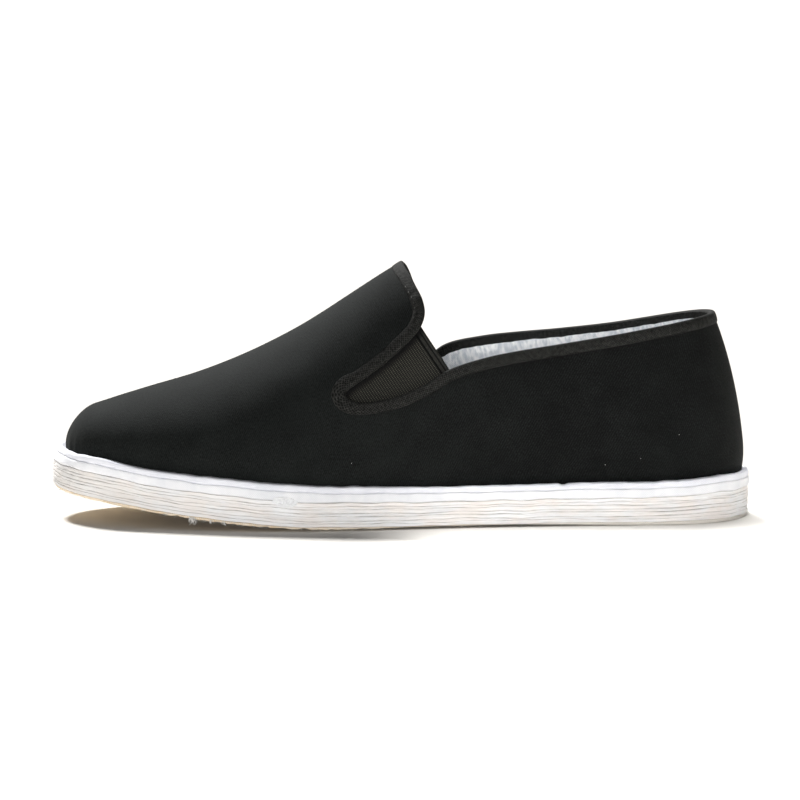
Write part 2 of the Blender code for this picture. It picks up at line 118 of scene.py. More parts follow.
# How far each line between the plies lies off its even place, as a share of the core
PLY_SHIFTS = [0.01, -0.025, 0.02, -0.01, 0.025, -0.015]
# Open cracks between plies on the lateral side, in millimetres: ply below, X, half length
PLY_CRACKS = [(3, -12.4, 2.5), (2, -6.0, 1.8), (3, 108.0, 3.5), (3, 116.0, 5.0), (4, 121.0, 3.0)]
PLY_CRACK_DEPTH = 1.6 * MM
# A nick in the rim and an open place under it, in millimetres: X, half length, depth
RIM_NICK = (67.0, 1.3, 0.8)
OPEN_SEAM = (91.0, 3.0, 0.3)
# Where the tread lies clear of the floor: in the waist, and a little before the heel
WAIST_X = 32.0 * MM
WAIST_REACH = 46.0 * MM
WAIST_LIFT = 0.85 * MM
FRONT_LIFT = 0.22 * MM
FRONT_LIFT_X = 100.0 * MM
FRONT_LIFT_RUN = 40.0 * MM
LIFT_LIMIT = 1.0 * MM
# Where the lower edge is most frayed, and how far the fraying goes in and up as shares of its
# wave: everywhere, and more under the forefoot
FRAYED_X = -45.0 * MM
FRAYED_REACH = 50.0 * MM
FRAY_INSET = (0.12, 0.3)
FRAY_LIFT = (0.05, 0.2)

# The top layer's ledge, in millimetres: distance in from the rim, and its rise at the toe
LEDGE_GROOVE = [
    (1.2, 0.12), (1.9, -0.1), (2.6, -0.6), (3.5, -0.85), (4.3, -0.6), (5.2, -0.1), (9.0, -0.1)
]
LEDGE_RISE = 0.12
LEDGE_SIDE_SHARE = 0.15
LEDGE_TOE_X = -112.0 * MM
LEDGE_TOE_RUN = 20.0 * MM

# The sock inside: gap over the sole, thickness, and its edge as shares of width and height
SOCK_LIFT = 0.25 * MM
SOCK_THICK = 1.6 * MM
SOCK_EDGE = [
    (1.0, 0.0), (1.0, 0.7), (0.985, 0.95), (0.95, 1.0), (0.8, 1.0), (0.5, 0.97), (0.2, 0.95)
]

# The upper's shape, as in its solid
TOE_LEDGE = 5.2 * MM
SIDE_LEDGE = 3.6 * MM
HEEL_LEDGE = 1.7 * MM
UPPER_LIFT = 0.3 * MM
UPPER_TOE_ROUND = 29.0 * MM
UPPER_HEEL_ROUND = 29.0 * MM
TOE_WALL_ROUND = 12.0 * MM
TUCK_IN = 1.3 * MM
TUCK_HEIGHT = 11.0 * MM
TUCK_FULL_HEIGHT = 40.0 * MM
DOME_END_X = 13.0 * MM
DOME_BLEND_RUN = 30.0 * MM
HEEL_FAN_X = 96.0 * MM
UPPER_HEEL_X = HEEL_X - HEEL_LEDGE
DOME_STATIONS = 150
DOME_STEP_POWER = 0.85
DOME_ARC_STEPS = 60
WALL_STATIONS = 60
FAN_STATIONS = 62
WALL_ARC_STEPS = 44
TOPLINE_SPARE = 5.0 * MM
FEATHER_DROP = 1.3 * MM
GIRTH_SAMPLES = 91
RUN_SAMPLES = 200

# Gathers of the cloth round the toe, so many to a full turn, and the seam up the heel
GATHERS = 34
GATHER_CENTRE_X = -95.0 * MM
GATHER_DEPTH = 0.22 * MM
GATHER_HEIGHT = 6.0 * MM
GATHER_START_X = -60.0 * MM
GATHER_RUN = 30.0 * MM
HEEL_SEAM_X = 120.0 * MM
HEEL_SEAM_RUN = 10.0 * MM
HEEL_SEAM_Y = 1.6 * MM
HEEL_SEAM_WIDTH = 0.8 * MM
HEEL_SEAM_DEPTH = 0.3 * MM

# Cloth thicknesses, and how far each cloth stays back from the opening's edge
SERGE_THICK = 0.95 * MM
SERGE_BACK = 0.9 * MM
LINING_THICK = 0.6 * MM
LINING_BACK = 1.4 * MM
WALL_THICK = 1.7 * MM

# The lining: how far it hangs off the serge, and its wrinkles, full this far below the tape
LINING_GAP = 0.05 * MM
LINING_HANG = 0.2 * MM
WRINKLE_START = 1.5 * MM
WRINKLE_RUN = 3.0 * MM
WRINKLE_DEPTH = 0.3
PUCKER_DEPTH = 0.12

# The tape: its section in millimetres, from its sewn edge on the outer face, over the opening's
# edge and down the inside, and back close to the cloth: distance into the cloth, height over
# the face
TAPE_SECTION = [
    (4.82, 0.0), (4.56, 0.06), (4.52, 0.24), (4.38, 0.46), (4.0, 0.66), (3.3, 0.80), (2.4, 0.86),
    (1.5, 0.88), (0.9, 0.84), (0.45, 0.66), (0.14, 0.30), (0.02, -0.2), (0.0, -0.85),
    (0.05, -1.45), (0.22, -1.85), (0.6, -2.12), (1.3, -2.22), (2.2, -2.24), (3.1, -2.22),
    (3.8, -2.14), (4.05, -2.0), (4.08, -1.86), (3.9, -1.76), (2.4, -1.74), (0.75, -1.72),
    (0.7, -0.85), (0.72, 0.04), (2.4, 0.06), (4.2, 0.02),
]
TAPE_STEP = 0.5 * MM
# Heights that mark off the section's outer face and its inner face
TAPE_OUTER_FROM = 0.1 * MM
TAPE_INNER_BELOW = -1.8 * MM
TAPE_EDGE_ROUND = 0.3 * MM
# Width of the tape inside the shoe, as a share of its section, at places along X in millimetres
INNER_BAND_X = [-25.0, 15.0, 35.0, 80.0, 110.0, 139.0]
INNER_BAND_SHARE = [0.8, 0.95, 0.95, 0.74, 0.66, 0.5]
# Waves along the tape: seed, longest and shortest in millimetres, and size
TAPE_WIDTH_WAVE = (3, 60, 7, 0.022)
TAPE_HEIGHT_WAVE = (4, 40, 4, 0.07)
TAPE_INNER_WAVE = (5, 22, 2.5, 0.2)
# Round the notch's tip the tape is wider and puckered; over the tongue it is pressed flat
TAPE_FLARE = 0.26
TAPE_FLARE_REACH = 7.0 * MM
TAPE_PUCKER_DEPTH = 0.13 * MM
TAPE_PUCKER_REACH = 4.5 * MM
TAPE_PUCKER_PITCH = 1.55 * MM
TONGUE_FLATTEN = 0.6
TONGUE_FLAT_Z = 90.0 * MM
TONGUE_FLAT_RUN = 9.0 * MM
# The seam along the tape
STITCH_PITCH = 3.0 * MM
STITCH_PULL = 0.12 * MM
STITCH_LINE = 3.7 * MM
STITCH_GROOVE = 0.7 * MM
STITCH_HALF = 0.62 * MM
STITCH_THREAD = 0.11 * MM
STITCH_INSET = 3.75 * MM
# Height of a stitch over the cloth in millimetres, at its ends and in its middle
STITCH_HEIGHTS = (0.45, 0.66)
STITCH_TONGUE_Z = (80.0 * MM, 98.0 * MM)
STITCH_TONGUE_END_X = 20.0 * MM
STITCH_NOTCH_REACH = 9.0 * MM

PATH_STEPS = 8
FINE_PATH_STEPS = 40
COLLAR_ROWS = 8
COLLAR_START_X = 49.0 * MM
COLLAR_SAMPLES = 400

# Plan of the sole in millimetres: distance from the toe tip, Y of the middle, half width
SOLE_PLAN = [
    (0.0, 6.6, 35.5), (25.0, 6.2, 36.8), (45.0, 4.0, 41.8), (70.0, 1.4, 47.0),
    (95.0, -0.1, 48.6), (125.0, -1.8, 45.2), (155.0, -2.5, 39.2), (185.0, -1.6, 35.5),
    (215.0, 0.1, 34.1), (240.0, 1.1, 33.6), (262.0, 1.5, 32.0), (282.0, 1.6, 31.0),
]

# Sections of the upper in millimetres: distance from the toe tip, height of the crest above
# the sole, Y of the crest, and the powers of the section's curve upwards and inwards
UPPER_SECTIONS = [
    (5.0, 13.0, 6.6, 2.3, 2.2), (19.0, 19.2, 6.2, 2.3, 2.2), (27.0, 23.0, 5.8, 2.3, 2.1),
    (39.0, 28.4, 5.4, 2.2, 2.0), (60.0, 37.3, 4.6, 2.1, 2.0), (84.0, 49.4, 3.8, 2.0, 2.0),
    (100.0, 58.7, 3.4, 2.0, 2.0), (121.0, 72.4, 3.1, 2.0, 2.0), (141.0, 85.0, 2.8, 2.1, 2.0),
    (154.0, 92.0, 2.6, 2.3, 2.0), (175.0, 96.0, 2.2, 2.9, 2.0), (206.0, 96.0, 1.8, 3.2, 2.0),
    (237.0, 95.0, 1.6, 2.9, 2.0), (262.0, 95.5, 1.6, 2.3, 2.0), (282.0, 96.0, 1.6, 1.7, 2.0),
]

# The opening's edge in the side view in millimetres, from above the tongue tip to behind the
# heel: X, height, then how much further forward and higher it lies on the medial side
OPENING_EDGE = [
    (-2.6, 108.4, 0.0, 0.0), (2.3, 102.8, 0.6, 0.0), (5.1, 99.8, 1.9, 0.0),
    (7.8, 95.6, 3.3, 0.0), (10.3, 91.4, 4.6, 0.0), (11.6, 86.9, 5.4, 0.0),
    (11.3, 83.2, 5.2, 0.0), (9.9, 79.8, 4.9, 0.0), (7.6, 76.6, 4.5, 0.0),
    (-1.0, 68.4, 4.3, 0.0), (-10.0, 61.5, 4.3, 0.0), (-17.0, 56.9, 4.3, 0.0),
    (-19.7, 54.4, 4.3, 0.0), (-18.9, 52.4, 4.3, 0.0), (-13.9, 50.6, 4.3, 0.0),
    (-5.7, 51.3, 4.3, 0.2), (2.4, 53.3, 4.3, 0.6), (12.4, 57.6, 4.3, 2.6),
    (22.0, 63.4, 4.2, 4.0), (36.0, 67.7, 3.2, 3.0), (49.0, 70.2, 2.0, 2.1),
    (65.2, 72.6, 1.0, 1.1), (87.2, 76.0, 0.3, 0.2), (109.4, 79.9, 0.0, 0.0),
    (127.0, 82.9, 0.0, 0.0), (150.0, 85.8, 0.0, 0.0),
]
NOTCH_TIP = (-19.7 * MM, 54.0 * MM)
NOTCH_FORWARD = 4.3 * MM
# Rows of the table above from its start to the tip of the notch
TONGUE_ROWS = 12

# The elastic in the side view in millimetres, from the top of its free edge round its region
GUSSET_OUTLINE = [
    (7.3, 84.7), (3.8, 81.6), (-20.6, 61.4), (-25.0, 55.4), (-22.4, 49.6), (-14.1, 46.5),
    (2.2, 49.4), (13.0, 53.2), (23.6, 60.8),
]
MEDIAL_FORWARD = 6.6 * MM
ELASTIC_DEPTH = 2.8 * MM
ELASTIC_THICK = 1.0 * MM
ELASTIC_REACH = 40.0 * MM
ELASTIC_ABOVE = 6.0 * MM
ELASTIC_BELOW = 16.0 * MM
ELASTIC_COLUMNS = 110
RIB_SAMPLES = 8
RIB_PITCH = 0.95 * MM
RIB_HEIGHT = 0.13 * MM
# Folds of the hem, in millimetres from the free edge
HEM_FOLDS = [1.5, 3.3]
HEM_WIDTH = 3.3 * MM
HEM_HEIGHT = 0.35 * MM
HEM_EDGE_ROUND = 0.5 * MM
FOLD_WIDTH = 0.22 * MM

# Soft creases of the upper in the side view, in millimetres: side, start, end, half width,
# depth (a trough is positive, a ridge negative)
CREASES = [
    (-1, (-24, 52), (-70, 36), 5.0, 0.35),
    (-1, (-28, 62), (-62, 58), 6.0, -0.30),
    (-1, (-60, 33), (-84, 22), 5.0, 0.28),
    (-1, (30, 60), (62, 30), 7.0, 0.30),
    (-1, (96, 76), (112, 30), 6.0, 0.35),
    (-1, (120, 64), (128, 26), 5.0, -0.25),
    (1, (-26, 54), (-66, 40), 5.0, 0.35),
    (1, (24, 58), (56, 32), 7.0, 0.35),
    (1, (92, 74), (104, 30), 6.0, 0.35),
]

# Thread pitches as drawn, in millimetres
SERGE_PITCH = 0.9
TAPE_PITCH = 0.75
LOOP_PITCH = 0.7
CALICO_PITCH = 0.6
CANVAS_PITCH = 0.9
# Where along X a cloth changes its tone, in millimetres: from none to full. For the serge and
# the plies this change is painted shade
SERGE_PAINTED_SHADE = (-20, 60)
PLIES_PAINTED_SHADE = (-70, -210)
CANVAS_RUBBED = (-60, 60)
# How far from the vamp's tape the elastic's painted shade fades out
PAINTED_SHADE_RUN = (0.6 * MM, 2.8 * MM)

# Fibres along the sole's lower edge
FUZZ_TRIES = 900
FUZZ_CENTRE_X = -40.0 * MM
FUZZ_REACH = 60.0 * MM
FUZZ_DEPTH = 1.2 * MM
FUZZ_THREAD = 0.05 * MM
# Tufts of thread under the forefoot, in millimetres: X, how many threads, longest thread
TUFTS = [(-82.0, 7, 2.6), (-80.9, 9, 3.3), (-73.4, 6, 1.7), (-68.4, 7, 1.8)]
TUFT_HEIGHT = 1.1 * MM
TUFT_THREAD = 0.08 * MM
# The flake of cotton, in millimetres where not in steps
FLAKE_COLUMNS = 56
FLAKE_ROWS = 30
FLAKE_X = -43.6
FLAKE_HEIGHT = 11.3
FLAKE_HALF_LENGTH = 5.0
FLAKE_HALF_HEIGHT = 2.1
FLAKE_TILT = 0.5
FLAKE_THICK = 0.35
# Specks of lint on the lateral side, in millimetres: X, Z
LINT_SPECKS = [(113.2, 36.0), (97.8, 26.6), (83.6, 24.2), (-17.2, 26.8)]
LINT_THREAD = 0.05 * MM

# Lights: where each stands and what it is aimed at in metres, and its power
TENT_STRENGTH = 0.14
KEY_PLACE = (-0.4, 0.72, 1.0)
KEY_POWER = 6.4
KEY_ANGLE = math.radians(11)
SOFTBOX_PLACE = (-0.25, -3.4, 0.24)
SOFTBOX_AIM = (0.0, 0.0, 0.04)
SOFTBOX_SIZE = (1.4, 0.34)
SOFTBOX_POWER = 61.0
# Strip lights over the floor in metres: name, X, Y, and sizes along X and Y
FLOOR_STRIPS = [
    ("front_strip", 0.155, -0.09, 0.29, 0.09),
    ("heel_strip", 0.197, -0.005, 0.10, 0.12),
]
STRIP_HEIGHT = 0.32
STRIP_POWER = 7.4
STRIP_SPREAD = math.radians(12)

CAMERA_DISTANCE = 2.6
CAMERA_RISE = math.radians(6.4)
CAMERA_YAW = math.radians(3.0)
CAMERA_ROLL = math.radians(0.55)
CAMERA_TARGET = Vector((0.0, 0.0, 45.0 * MM))
FRAME_PIXELS = 800
PIXEL_SIZE = 0.407 * MM / 1.0056
SENSOR_WIDTH = 36.0
# Where the target lies in the picture, in pixels from its left and its top
TARGET_COLUMN = 399.7
TARGET_ROW = 405.6


# Curves and lines

def read_table(rows, column, places):
    """Values of one column at the places, on a smooth curve through the table's rows."""
    knots = np.array([row[0] for row in rows], float)
    values = np.array([row[column] for row in rows], float)
    slopes = np.gradient(values, knots)
    places = np.clip(places, knots[0], knots[-1])
    row = np.clip(np.searchsorted(knots, places) - 1, 0, len(rows) - 2)
    span = knots[row + 1] - knots[row]
    t = (places - knots[row]) / span
    start = values[row] * (1 + 2 * t) * (1 - t) ** 2 + slopes[row] * span * t * (1 - t) ** 2
    end = values[row + 1] * t * t * (3 - 2 * t) - slopes[row + 1] * span * t * t * (1 - t)
    return start + end


def ease(share):
    share = np.clip(share, 0.0, 1.0)
    return share * share * (3 - 2 * share)


def bell(gap, reach):
    """A soft bump: 1 at no gap, and about a third at this reach."""
    return np.exp(-((gap / reach) ** 2))


def unit(vectors):
    return vectors / (np.linalg.norm(vectors, axis=1)[:, None] + 1e-12)


def lengths_along(points):
    """Length of a line of points from its start to each point."""
    steps = np.linalg.norm(np.diff(points, axis=0), axis=1)
    return np.concatenate([[0.0], np.cumsum(steps)])


def point_at(place, places, line):
    """The point at one place or many along a line whose points lie at the places."""
    return np.stack([np.interp(place, places, line[:, axis]) for axis in range(3)], -1)


def round_end(distance, radius):
    """Share of the full size at a distance inside a round end."""
    inside = np.clip(distance / radius, 0.0, 1.0)
    return np.sqrt(1.0 - (1.0 - inside) ** 2)


def lump(x, y, z):
    return noise.noise(Vector((x, y, z)))


def wander(wave, share, length):
    """A smooth irregular wave round a closed line: share is the place on it, from 0 to 1."""
    seed, longest, shortest, size = wave
    dice = random.Random(seed)
    lowest = max(1, round(length / (longest * MM)))
    highest = max(lowest + 1, round(length / (shortest * MM)))
    total = np.zeros_like(share)
    power = 0.0
    for _ in range(26):
        turns = dice.randint(lowest, highest)
        strength = (lowest / turns) ** 0.5 * dice.uniform(0.4, 1.0)
        total += strength * np.sin(2 * math.pi * (turns * share + dice.random()))
        power += strength**2 / 2
    return size * total / math.sqrt(power)


# Shape of the sole and the upper

def from_toe(x):
    return (x - TOE_X) / MM


def layer_z(x, height):
    """Z of a level that lies at this height in the sole's flat middle."""
    run = np.maximum(0.0, (SPRING_START_X - x) / (SPRING_START_X - TOE_X))
    heel = HEEL_RISE * ease((x - HEEL_RISE_START_X) / (HEEL_X - HEEL_RISE_START_X))
    return TOE_SPRING * run**SPRING_POWER + height + heel * np.minimum(1.0, height / CORE_TOP)


def outline_half(x, toe_inset, side_inset, heel_inset, toe_round, heel_round):
    full = read_table(SOLE_PLAN, 2, from_toe(x)) * MM - side_inset
    toe_share = round_end(x - TOE_X - toe_inset, toe_round)
    return full * toe_share * round_end(HEEL_X - heel_inset - x, heel_round)


def middle_y(x):
    return read_table(SOLE_PLAN, 1, from_toe(x)) * MM


def upper_half(x, draw_in=0.0):
    """Half width of the upper's foot at X, or of an outline drawn in from it."""
    return outline_half(
        x,
        TOE_LEDGE + draw_in,
        SIDE_LEDGE + draw_in,
        HEEL_LEDGE + draw_in,
        UPPER_TOE_ROUND - draw_in,
        UPPER_HEEL_ROUND - draw_in,
    )


def crest_height(x):
    return read_table(UPPER_SECTIONS, 1, from_toe(x)) * MM


def wall_points(x, side, angle):
    """Points of the upper's outer face: the section at X, a side (-1 lateral, +1 medial), and
    the angle round the section from the sole (0) to the crest (90 degrees)."""
    x, side, angle = np.broadcast_arrays(np.asarray(x, float), side, angle)
    place = from_toe(x)
    height = crest_height(x) * round_end(x - TOE_X - TOE_LEDGE, TOE_WALL_ROUND)
    centre_x = np.minimum(x, HEEL_FAN_X)
    crest_y = read_table(UPPER_SECTIONS, 2, from_toe(centre_x)) * MM
    foot_y = middle_y(x) + side * upper_half(x)
    reach = np.maximum(np.hypot(x - centre_x, foot_y - crest_y), 0.001 * MM)
    rise = height * np.clip(np.sin(angle), 0, 1) ** (2 / read_table(UPPER_SECTIONS, 3, place))
    out = reach * np.clip(np.cos(angle), 0, 1) ** (2 / read_table(UPPER_SECTIONS, 4, place))
    tuck = TUCK_IN * np.minimum(1.0, height / TUCK_FULL_HEIGHT)
    out = np.maximum(0.0, out - tuck * np.clip(1 - rise / TUCK_HEIGHT, 0, 1) ** 2)
    share = out / reach
    drop = FEATHER_DROP * np.clip(1 - rise / FEATHER_DROP, 0, 1)
    z = layer_z(x, SOLE_THICK) + rise - drop + UPPER_LIFT
    return np.stack([centre_x + (x - centre_x) * share, crest_y + (foot_y - crest_y) * share, z], -1)


def angle_at_share(x, share):
    """The angle round the section at X that is reached at this share of its height."""
    return np.arcsin(share ** (read_table(UPPER_SECTIONS, 3, from_toe(x)) / 2))


def side_view_angle(x, z):
    """The angle round the section at X whose outer face lies at this Z."""
    height_share = (z - layer_z(x, SOLE_THICK) - UPPER_LIFT) / crest_height(x)
    return angle_at_share(x, np.clip(height_share, 0, 1))


def side_view_points(x, z, side):
    return wall_points(x, side, side_view_angle(x, z))


def opening_path(side, steps):
    """The opening's edge in the side view, X and Z in metres, on a smooth curve."""
    medial = 1.0 if side > 0 else 0.0
    rows = [
        (number, x - medial * forward, z + medial * rise)
        for number, (x, z, forward, rise) in enumerate(OPENING_EDGE)
    ]
    places = np.linspace(0, len(rows) - 1, (len(rows) - 1) * steps + 1)
    return np.stack([read_table(rows, 1, places), read_table(rows, 2, places)], -1) * MM


def path_distance(points, path, closed=False):
    """Signed distance of side-view points from a path: negative on its left."""
    if closed:
        path = np.concatenate([path, path[:1]])
    start = path[:-1]
    run = path[1:] - start
    offset = points[:, None] - start[None]
    share = np.clip((offset * run).sum(2) / (run**2).sum(1), 0, 1)
    gap = offset - share[..., None] * run
    distance = np.hypot(gap[..., 0], gap[..., 1])
    nearest = distance.argmin(1)
    pick = np.arange(len(points))
    cross = run[nearest, 0] * offset[pick, nearest, 1] - run[nearest, 1] * offset[pick, nearest, 0]
    return np.where(cross > 0, -1.0, 1.0) * distance[pick, nearest]


# Meshes

def add_row(work, uv_of, points, places):
    """Add a row of vertices, and note each one's place on the cloth."""
    row = [work.verts.new(point) for point in points]
    uv_of.update(zip(row, places))
    return row


def join_rows(work, rows, closed=False):
    """Faces between each row of vertices and the next, all round it where it is closed."""
    for front, back in zip(rows, rows[1:]):
        count = len(front)
        for i in range(count if closed else count - 1):
            after = (i + 1) % count
            work.faces.new((front[i], back[i], back[after], front[after]))


def face_outwards(work, faces_in):
    """Make the faces agree, and turn them all where the test finds that they face inwards."""
    bmesh.ops.recalc_face_normals(work, faces=work.faces[:])
    work.faces.ensure_lookup_table()
    if faces_in(work.faces):
        bmesh.ops.reverse_faces(work, faces=work.faces[:])


def fill_mesh(work, name, uv_of=None):
    """Finish a bmesh as a smooth object; uv_of gives each vertex its place on the cloth, and
    after it, where there is one, how far the vertex lies from the tape's edge, for painted shade."""
    if uv_of is not None:
        values = len(next(iter(uv_of.values())))
        layers = [work.loops.layers.uv.new(layer) for layer in ("cloth", "shelter")[: values // 2]]
        for face in work.faces:
            for loop in face.loops:
                for number, layer in enumerate(layers):
                    loop[layer].uv = uv_of[loop.vert][2 * number : 2 * number + 2]
    mesh = bpy.data.meshes.new(name)
    work.to_mesh(mesh)
    work.free()
    mesh.shade_smooth()
    made = bpy.data.objects.new(name, mesh)
    bpy.context.scene.collection.objects.link(made)
    return made


def thicken(piece, thick):
    wall = piece.modifiers.new("wall", "SOLIDIFY")
    wall.thickness = thick
    wall.offset = -1.0


def dress(piece, material, node=None):
    """Give a piece its material and slot, and let it ride on the shoe."""
    piece.data.materials.clear()
    piece.data.materials.append(material)
    if node:
        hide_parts(node)
    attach(piece, "root")
    return piece


# Materials

def linear(hex_colour):
    """An sRGB hex colour as linear values with full alpha."""
    parts = [int(hex_colour[i : i + 2], 16) / 255 for i in (1, 3, 5)]
    return tuple(c / 12.92 if c <= 0.04045 else ((c + 0.055) / 1.055) ** 2.4 for c in parts) + (1.0,)


def add_node(tree, kind, settings=None, links=None):
    """Add one node: settings go on the node, and links gives its inputs a value or a socket."""
    made = tree.nodes.new(kind)
    for name, value in (settings or {}).items():
        setattr(made, name, value)
    for name, value in (links or {}).items():
        if isinstance(value, bpy.types.NodeSocket):
            tree.links.new(value, made.inputs[name])
        else:
            made.inputs[name].default_value = value
    return made


def new_material(name, roughness, specular, sheen=0.0, sheen_roughness=0.5, sheen_tint="#FFFFFF"):
    """A material with constant values on its shader, and its node tree."""
    material = bpy.data.materials.new(name)
    material.use_nodes = True
    values = {
        "Roughness": roughness,
        "Specular IOR Level": specular,
        "Sheen Weight": sheen,
        "Sheen Roughness": sheen_roughness,
        "Sheen Tint": linear(sheen_tint),
    }
    for socket, value in values.items():
        material.node_tree.nodes["Principled BSDF"].inputs[socket].default_value = value
    return material, material.node_tree


def finish_material(material, colour, *bumps):
    """Link the colour and the bumps, one over another: each a height, its depth and strength."""
    tree = material.node_tree
    shader = tree.nodes["Principled BSDF"]
    tree.links.new(colour, shader.inputs["Base Color"])
    under = {}
    for height, depth, strength in bumps:
        links = {"Height": height, "Distance": depth, "Strength": strength, **under}
        bump = add_node(tree, "ShaderNodeBump", {}, links)
        under = {"Normal": bump.outputs["Normal"]}
    for normal in under.values():
        tree.links.new(normal, shader.inputs["Normal"])
    return material


def cloth_place(tree, turn=0.0, scale=(1.0, 1.0)):
    """Place on the cloth in millimetres, turned by an angle and then stretched."""
    place = add_node(tree, "ShaderNodeUVMap", {"uv_map": "cloth"})
    links = {"Vector": place.outputs["UV"], "Angle": turn}
    turned = add_node(tree, "ShaderNodeVectorRotate", {"rotation_type": "Z_AXIS"}, links)
    links = {"Vector": turned.outputs["Vector"], "Scale": (scale[0] / MM, scale[1] / MM, 1.0)}
    return add_node(tree, "ShaderNodeMapping", {"vector_type": "POINT"}, links).outputs["Vector"]


def threads(tree, pitch_mm, turn, wobble):
    """Parallel threads at a pitch: 0 between them, 1 on their backs. The wave texture's bands lie
    pi / 10 apart at a scale of 1."""
    settings = {"wave_type": "BANDS", "bands_direction": "X", "wave_profile": "SIN"}
    links = {
        "Vector": cloth_place(tree, turn),
        "Scale": math.pi / 10 / pitch_mm,
        "Distortion": wobble,
        "Detail": 2.0,
        "Detail Scale": 1.5,
    }
    return add_node(tree, "ShaderNodeTexWave", settings, links).outputs["Fac"]


def grain(tree, size_mm, turn=0.0, stretch=1.0, detail=3.0):
    """Irregular grain of a size in millimetres, drawn out along one direction."""
    place = cloth_place(tree, turn, (1.0 / size_mm, 1.0 / (size_mm * stretch)))
    links = {"Vector": place, "Scale": 1.0, "Detail": detail, "Roughness": 0.6}
    return add_node(tree, "ShaderNodeTexNoise", {}, links).outputs["Fac"]


def combine(tree, operation, first, second=0.0):
    return add_node(tree, "ShaderNodeMath", {"operation": operation}, {0: first, 1: second}).outputs[0]


def add_share(tree, base, extra, weight):
    return combine(tree, "ADD", base, combine(tree, "MULTIPLY", extra, weight))


def off_line(tree, value, line):
    return combine(tree, "ABSOLUTE", combine(tree, "SUBTRACT", value, line))


def crossed_threads(tree, operation, pitch_mm, degrees, wobble):
    """Warp and weft at right angles, combined."""
    warp = threads(tree, pitch_mm, math.radians(degrees), wobble)
    weft = threads(tree, pitch_mm, math.radians(degrees - 90), wobble)
    return combine(tree, operation, warp, weft)


def between(tree, value, low, high):
    """Stretch a value so that low becomes 0 and high becomes 1."""
    links = {"Value": value, "From Min": low, "From Max": high}
    return add_node(tree, "ShaderNodeMapRange", {"clamp": True}, links).outputs["Result"]


def axis_of(tree, place, axis):
    return add_node(tree, "ShaderNodeSeparateXYZ", {}, {"Vector": place}).outputs[axis]


def along_shoe(tree, start, end):
    """0 at one X along the shoe and 1 at another, both in millimetres."""
    place = add_node(tree, "ShaderNodeTexCoord").outputs["Object"]
    return between(tree, axis_of(tree, place, "X"), start * MM, end * MM)


def two_colours(tree, share, first, second):
    """Go from the first colour to the second, each a hex colour or a socket."""
    first, second = (linear(c) if isinstance(c, str) else c for c in (first, second))
    links = {"Factor": share, 6: first, 7: second}
    return add_node(tree, "ShaderNodeMix", {"data_type": "RGBA"}, links).outputs[2]


def black_serge():
    """Dyed cotton serge, twill woven: matt, with faint slanting lines, a soft dusty bloom, and painted
    shade that makes it a deeper black at the quarters than on the vamp. Its real twill lines are 0.6
    mm apart, and are drawn at 0.9 mm so that they show."""
    material, tree = new_material("black_serge", 0.88, 0.1, 0.03, 0.45, "#B9BBB6")
    lines = threads(tree, SERGE_PITCH, math.radians(28), 1.6)
    specks = grain(tree, 0.5, math.radians(28), 1.7)
    weave = add_share(tree, specks, lines, 0.2)
    shade = add_share(tree, weave, grain(tree, 14.0), 0.3)
    # Painted shade: a deeper black towards the quarters and heel
    shade = add_share(tree, shade, along_shoe(tree, *SERGE_PAINTED_SHADE), -0.16)
    colour = two_colours(tree, between(tree, shade, 0.5, 1.05), "#060707", "#232625")
    return finish_material(material, colour, (weave, 0.16 * MM, 0.8))


def bias_tape():
    """Black cotton tape cut on the slant, plain woven: a little greyer than the serge, with fine
    crossing threads that catch the light, and painted shade, nearly black, in the ditch of its
    seam. Threads of 0.4 mm are drawn at 0.75 mm."""
    material, tree = new_material("bias_tape", 0.8, 0.12, 0.05, 0.4, "#C4C3BC")
    weave = crossed_threads(tree, "MAXIMUM", TAPE_PITCH, 45, 0.8)
    shade = combine(tree, "MULTIPLY", weave, grain(tree, 0.9, 0.0, 1.6))
    cloth = two_colours(tree, between(tree, shade, 0.26, 0.62), "#080908", "#343432")
    # Painted shade: nearly black along the ditch at the tape's sewn edge
    out_of_seam_shade = between(tree, axis_of(tree, cloth_place(tree), "Y"), 0.3, 0.55)
    colour = two_colours(tree, out_of_seam_shade, "#030303", cloth)
    return finish_material(material, colour, (shade, 0.16 * MM, 0.9))


def elastic_webbing():
    """Knitted elastic webbing: dark ribs, each with rows of paler loops that sparkle a little, which
    are partly painted highlights on the backs of the ribs, and a flat hem along its free edge
    whose two folds are painted black as shade in their grooves; all of it is painted dark as shade
    where the tape of the vamp overhangs it. The loops are 0.7 mm long."""
    material, tree = new_material("elastic_webbing", 0.7, 0.18, 0.05, 0.35, "#CFCDC4")
    loops = threads(tree, LOOP_PITCH, math.radians(90), 2.2)
    flecks = grain(tree, 0.45, 0.0, 1.6)
    ribs = threads(tree, RIB_PITCH / MM, 0.0, 0.5)
    # Paler loops on the backs of the ribs, partly painted highlight
    shade = combine(tree, "MULTIPLY", loops, combine(tree, "MULTIPLY", flecks, ribs))
    ribs_with_painted_highlights = two_colours(tree, between(tree, shade, 0.06, 0.4), "#0A0A09", "#49483F")
    hem = two_colours(tree, between(tree, flecks, 0.35, 0.7), "#141413", "#31302C")
    from_edge = axis_of(tree, cloth_place(tree), "X")
    colour = two_colours(tree, between(tree, from_edge, 3.2, 3.5), hem, ribs_with_painted_highlights)
    # Painted shade: the hem's folds nearly black in their grooves
    for fold in HEM_FOLDS:
        off_fold = between(tree, off_line(tree, from_edge, fold), 0.16, 0.32)
        colour = two_colours(tree, off_fold, "#020202", colour)
    # Painted shade: nearly black near the vamp's tape, which overhangs the elastic
    shelter = add_node(tree, "ShaderNodeUVMap", {"uv_map": "shelter"}).outputs["UV"]
    out_of_painted_shade = between(tree, axis_of(tree, shelter, "X"), *PAINTED_SHADE_RUN)
    colour = two_colours(tree, out_of_painted_shade, "#020202", colour)
    return finish_material(material, colour, (shade, 0.18 * MM, 0.8))


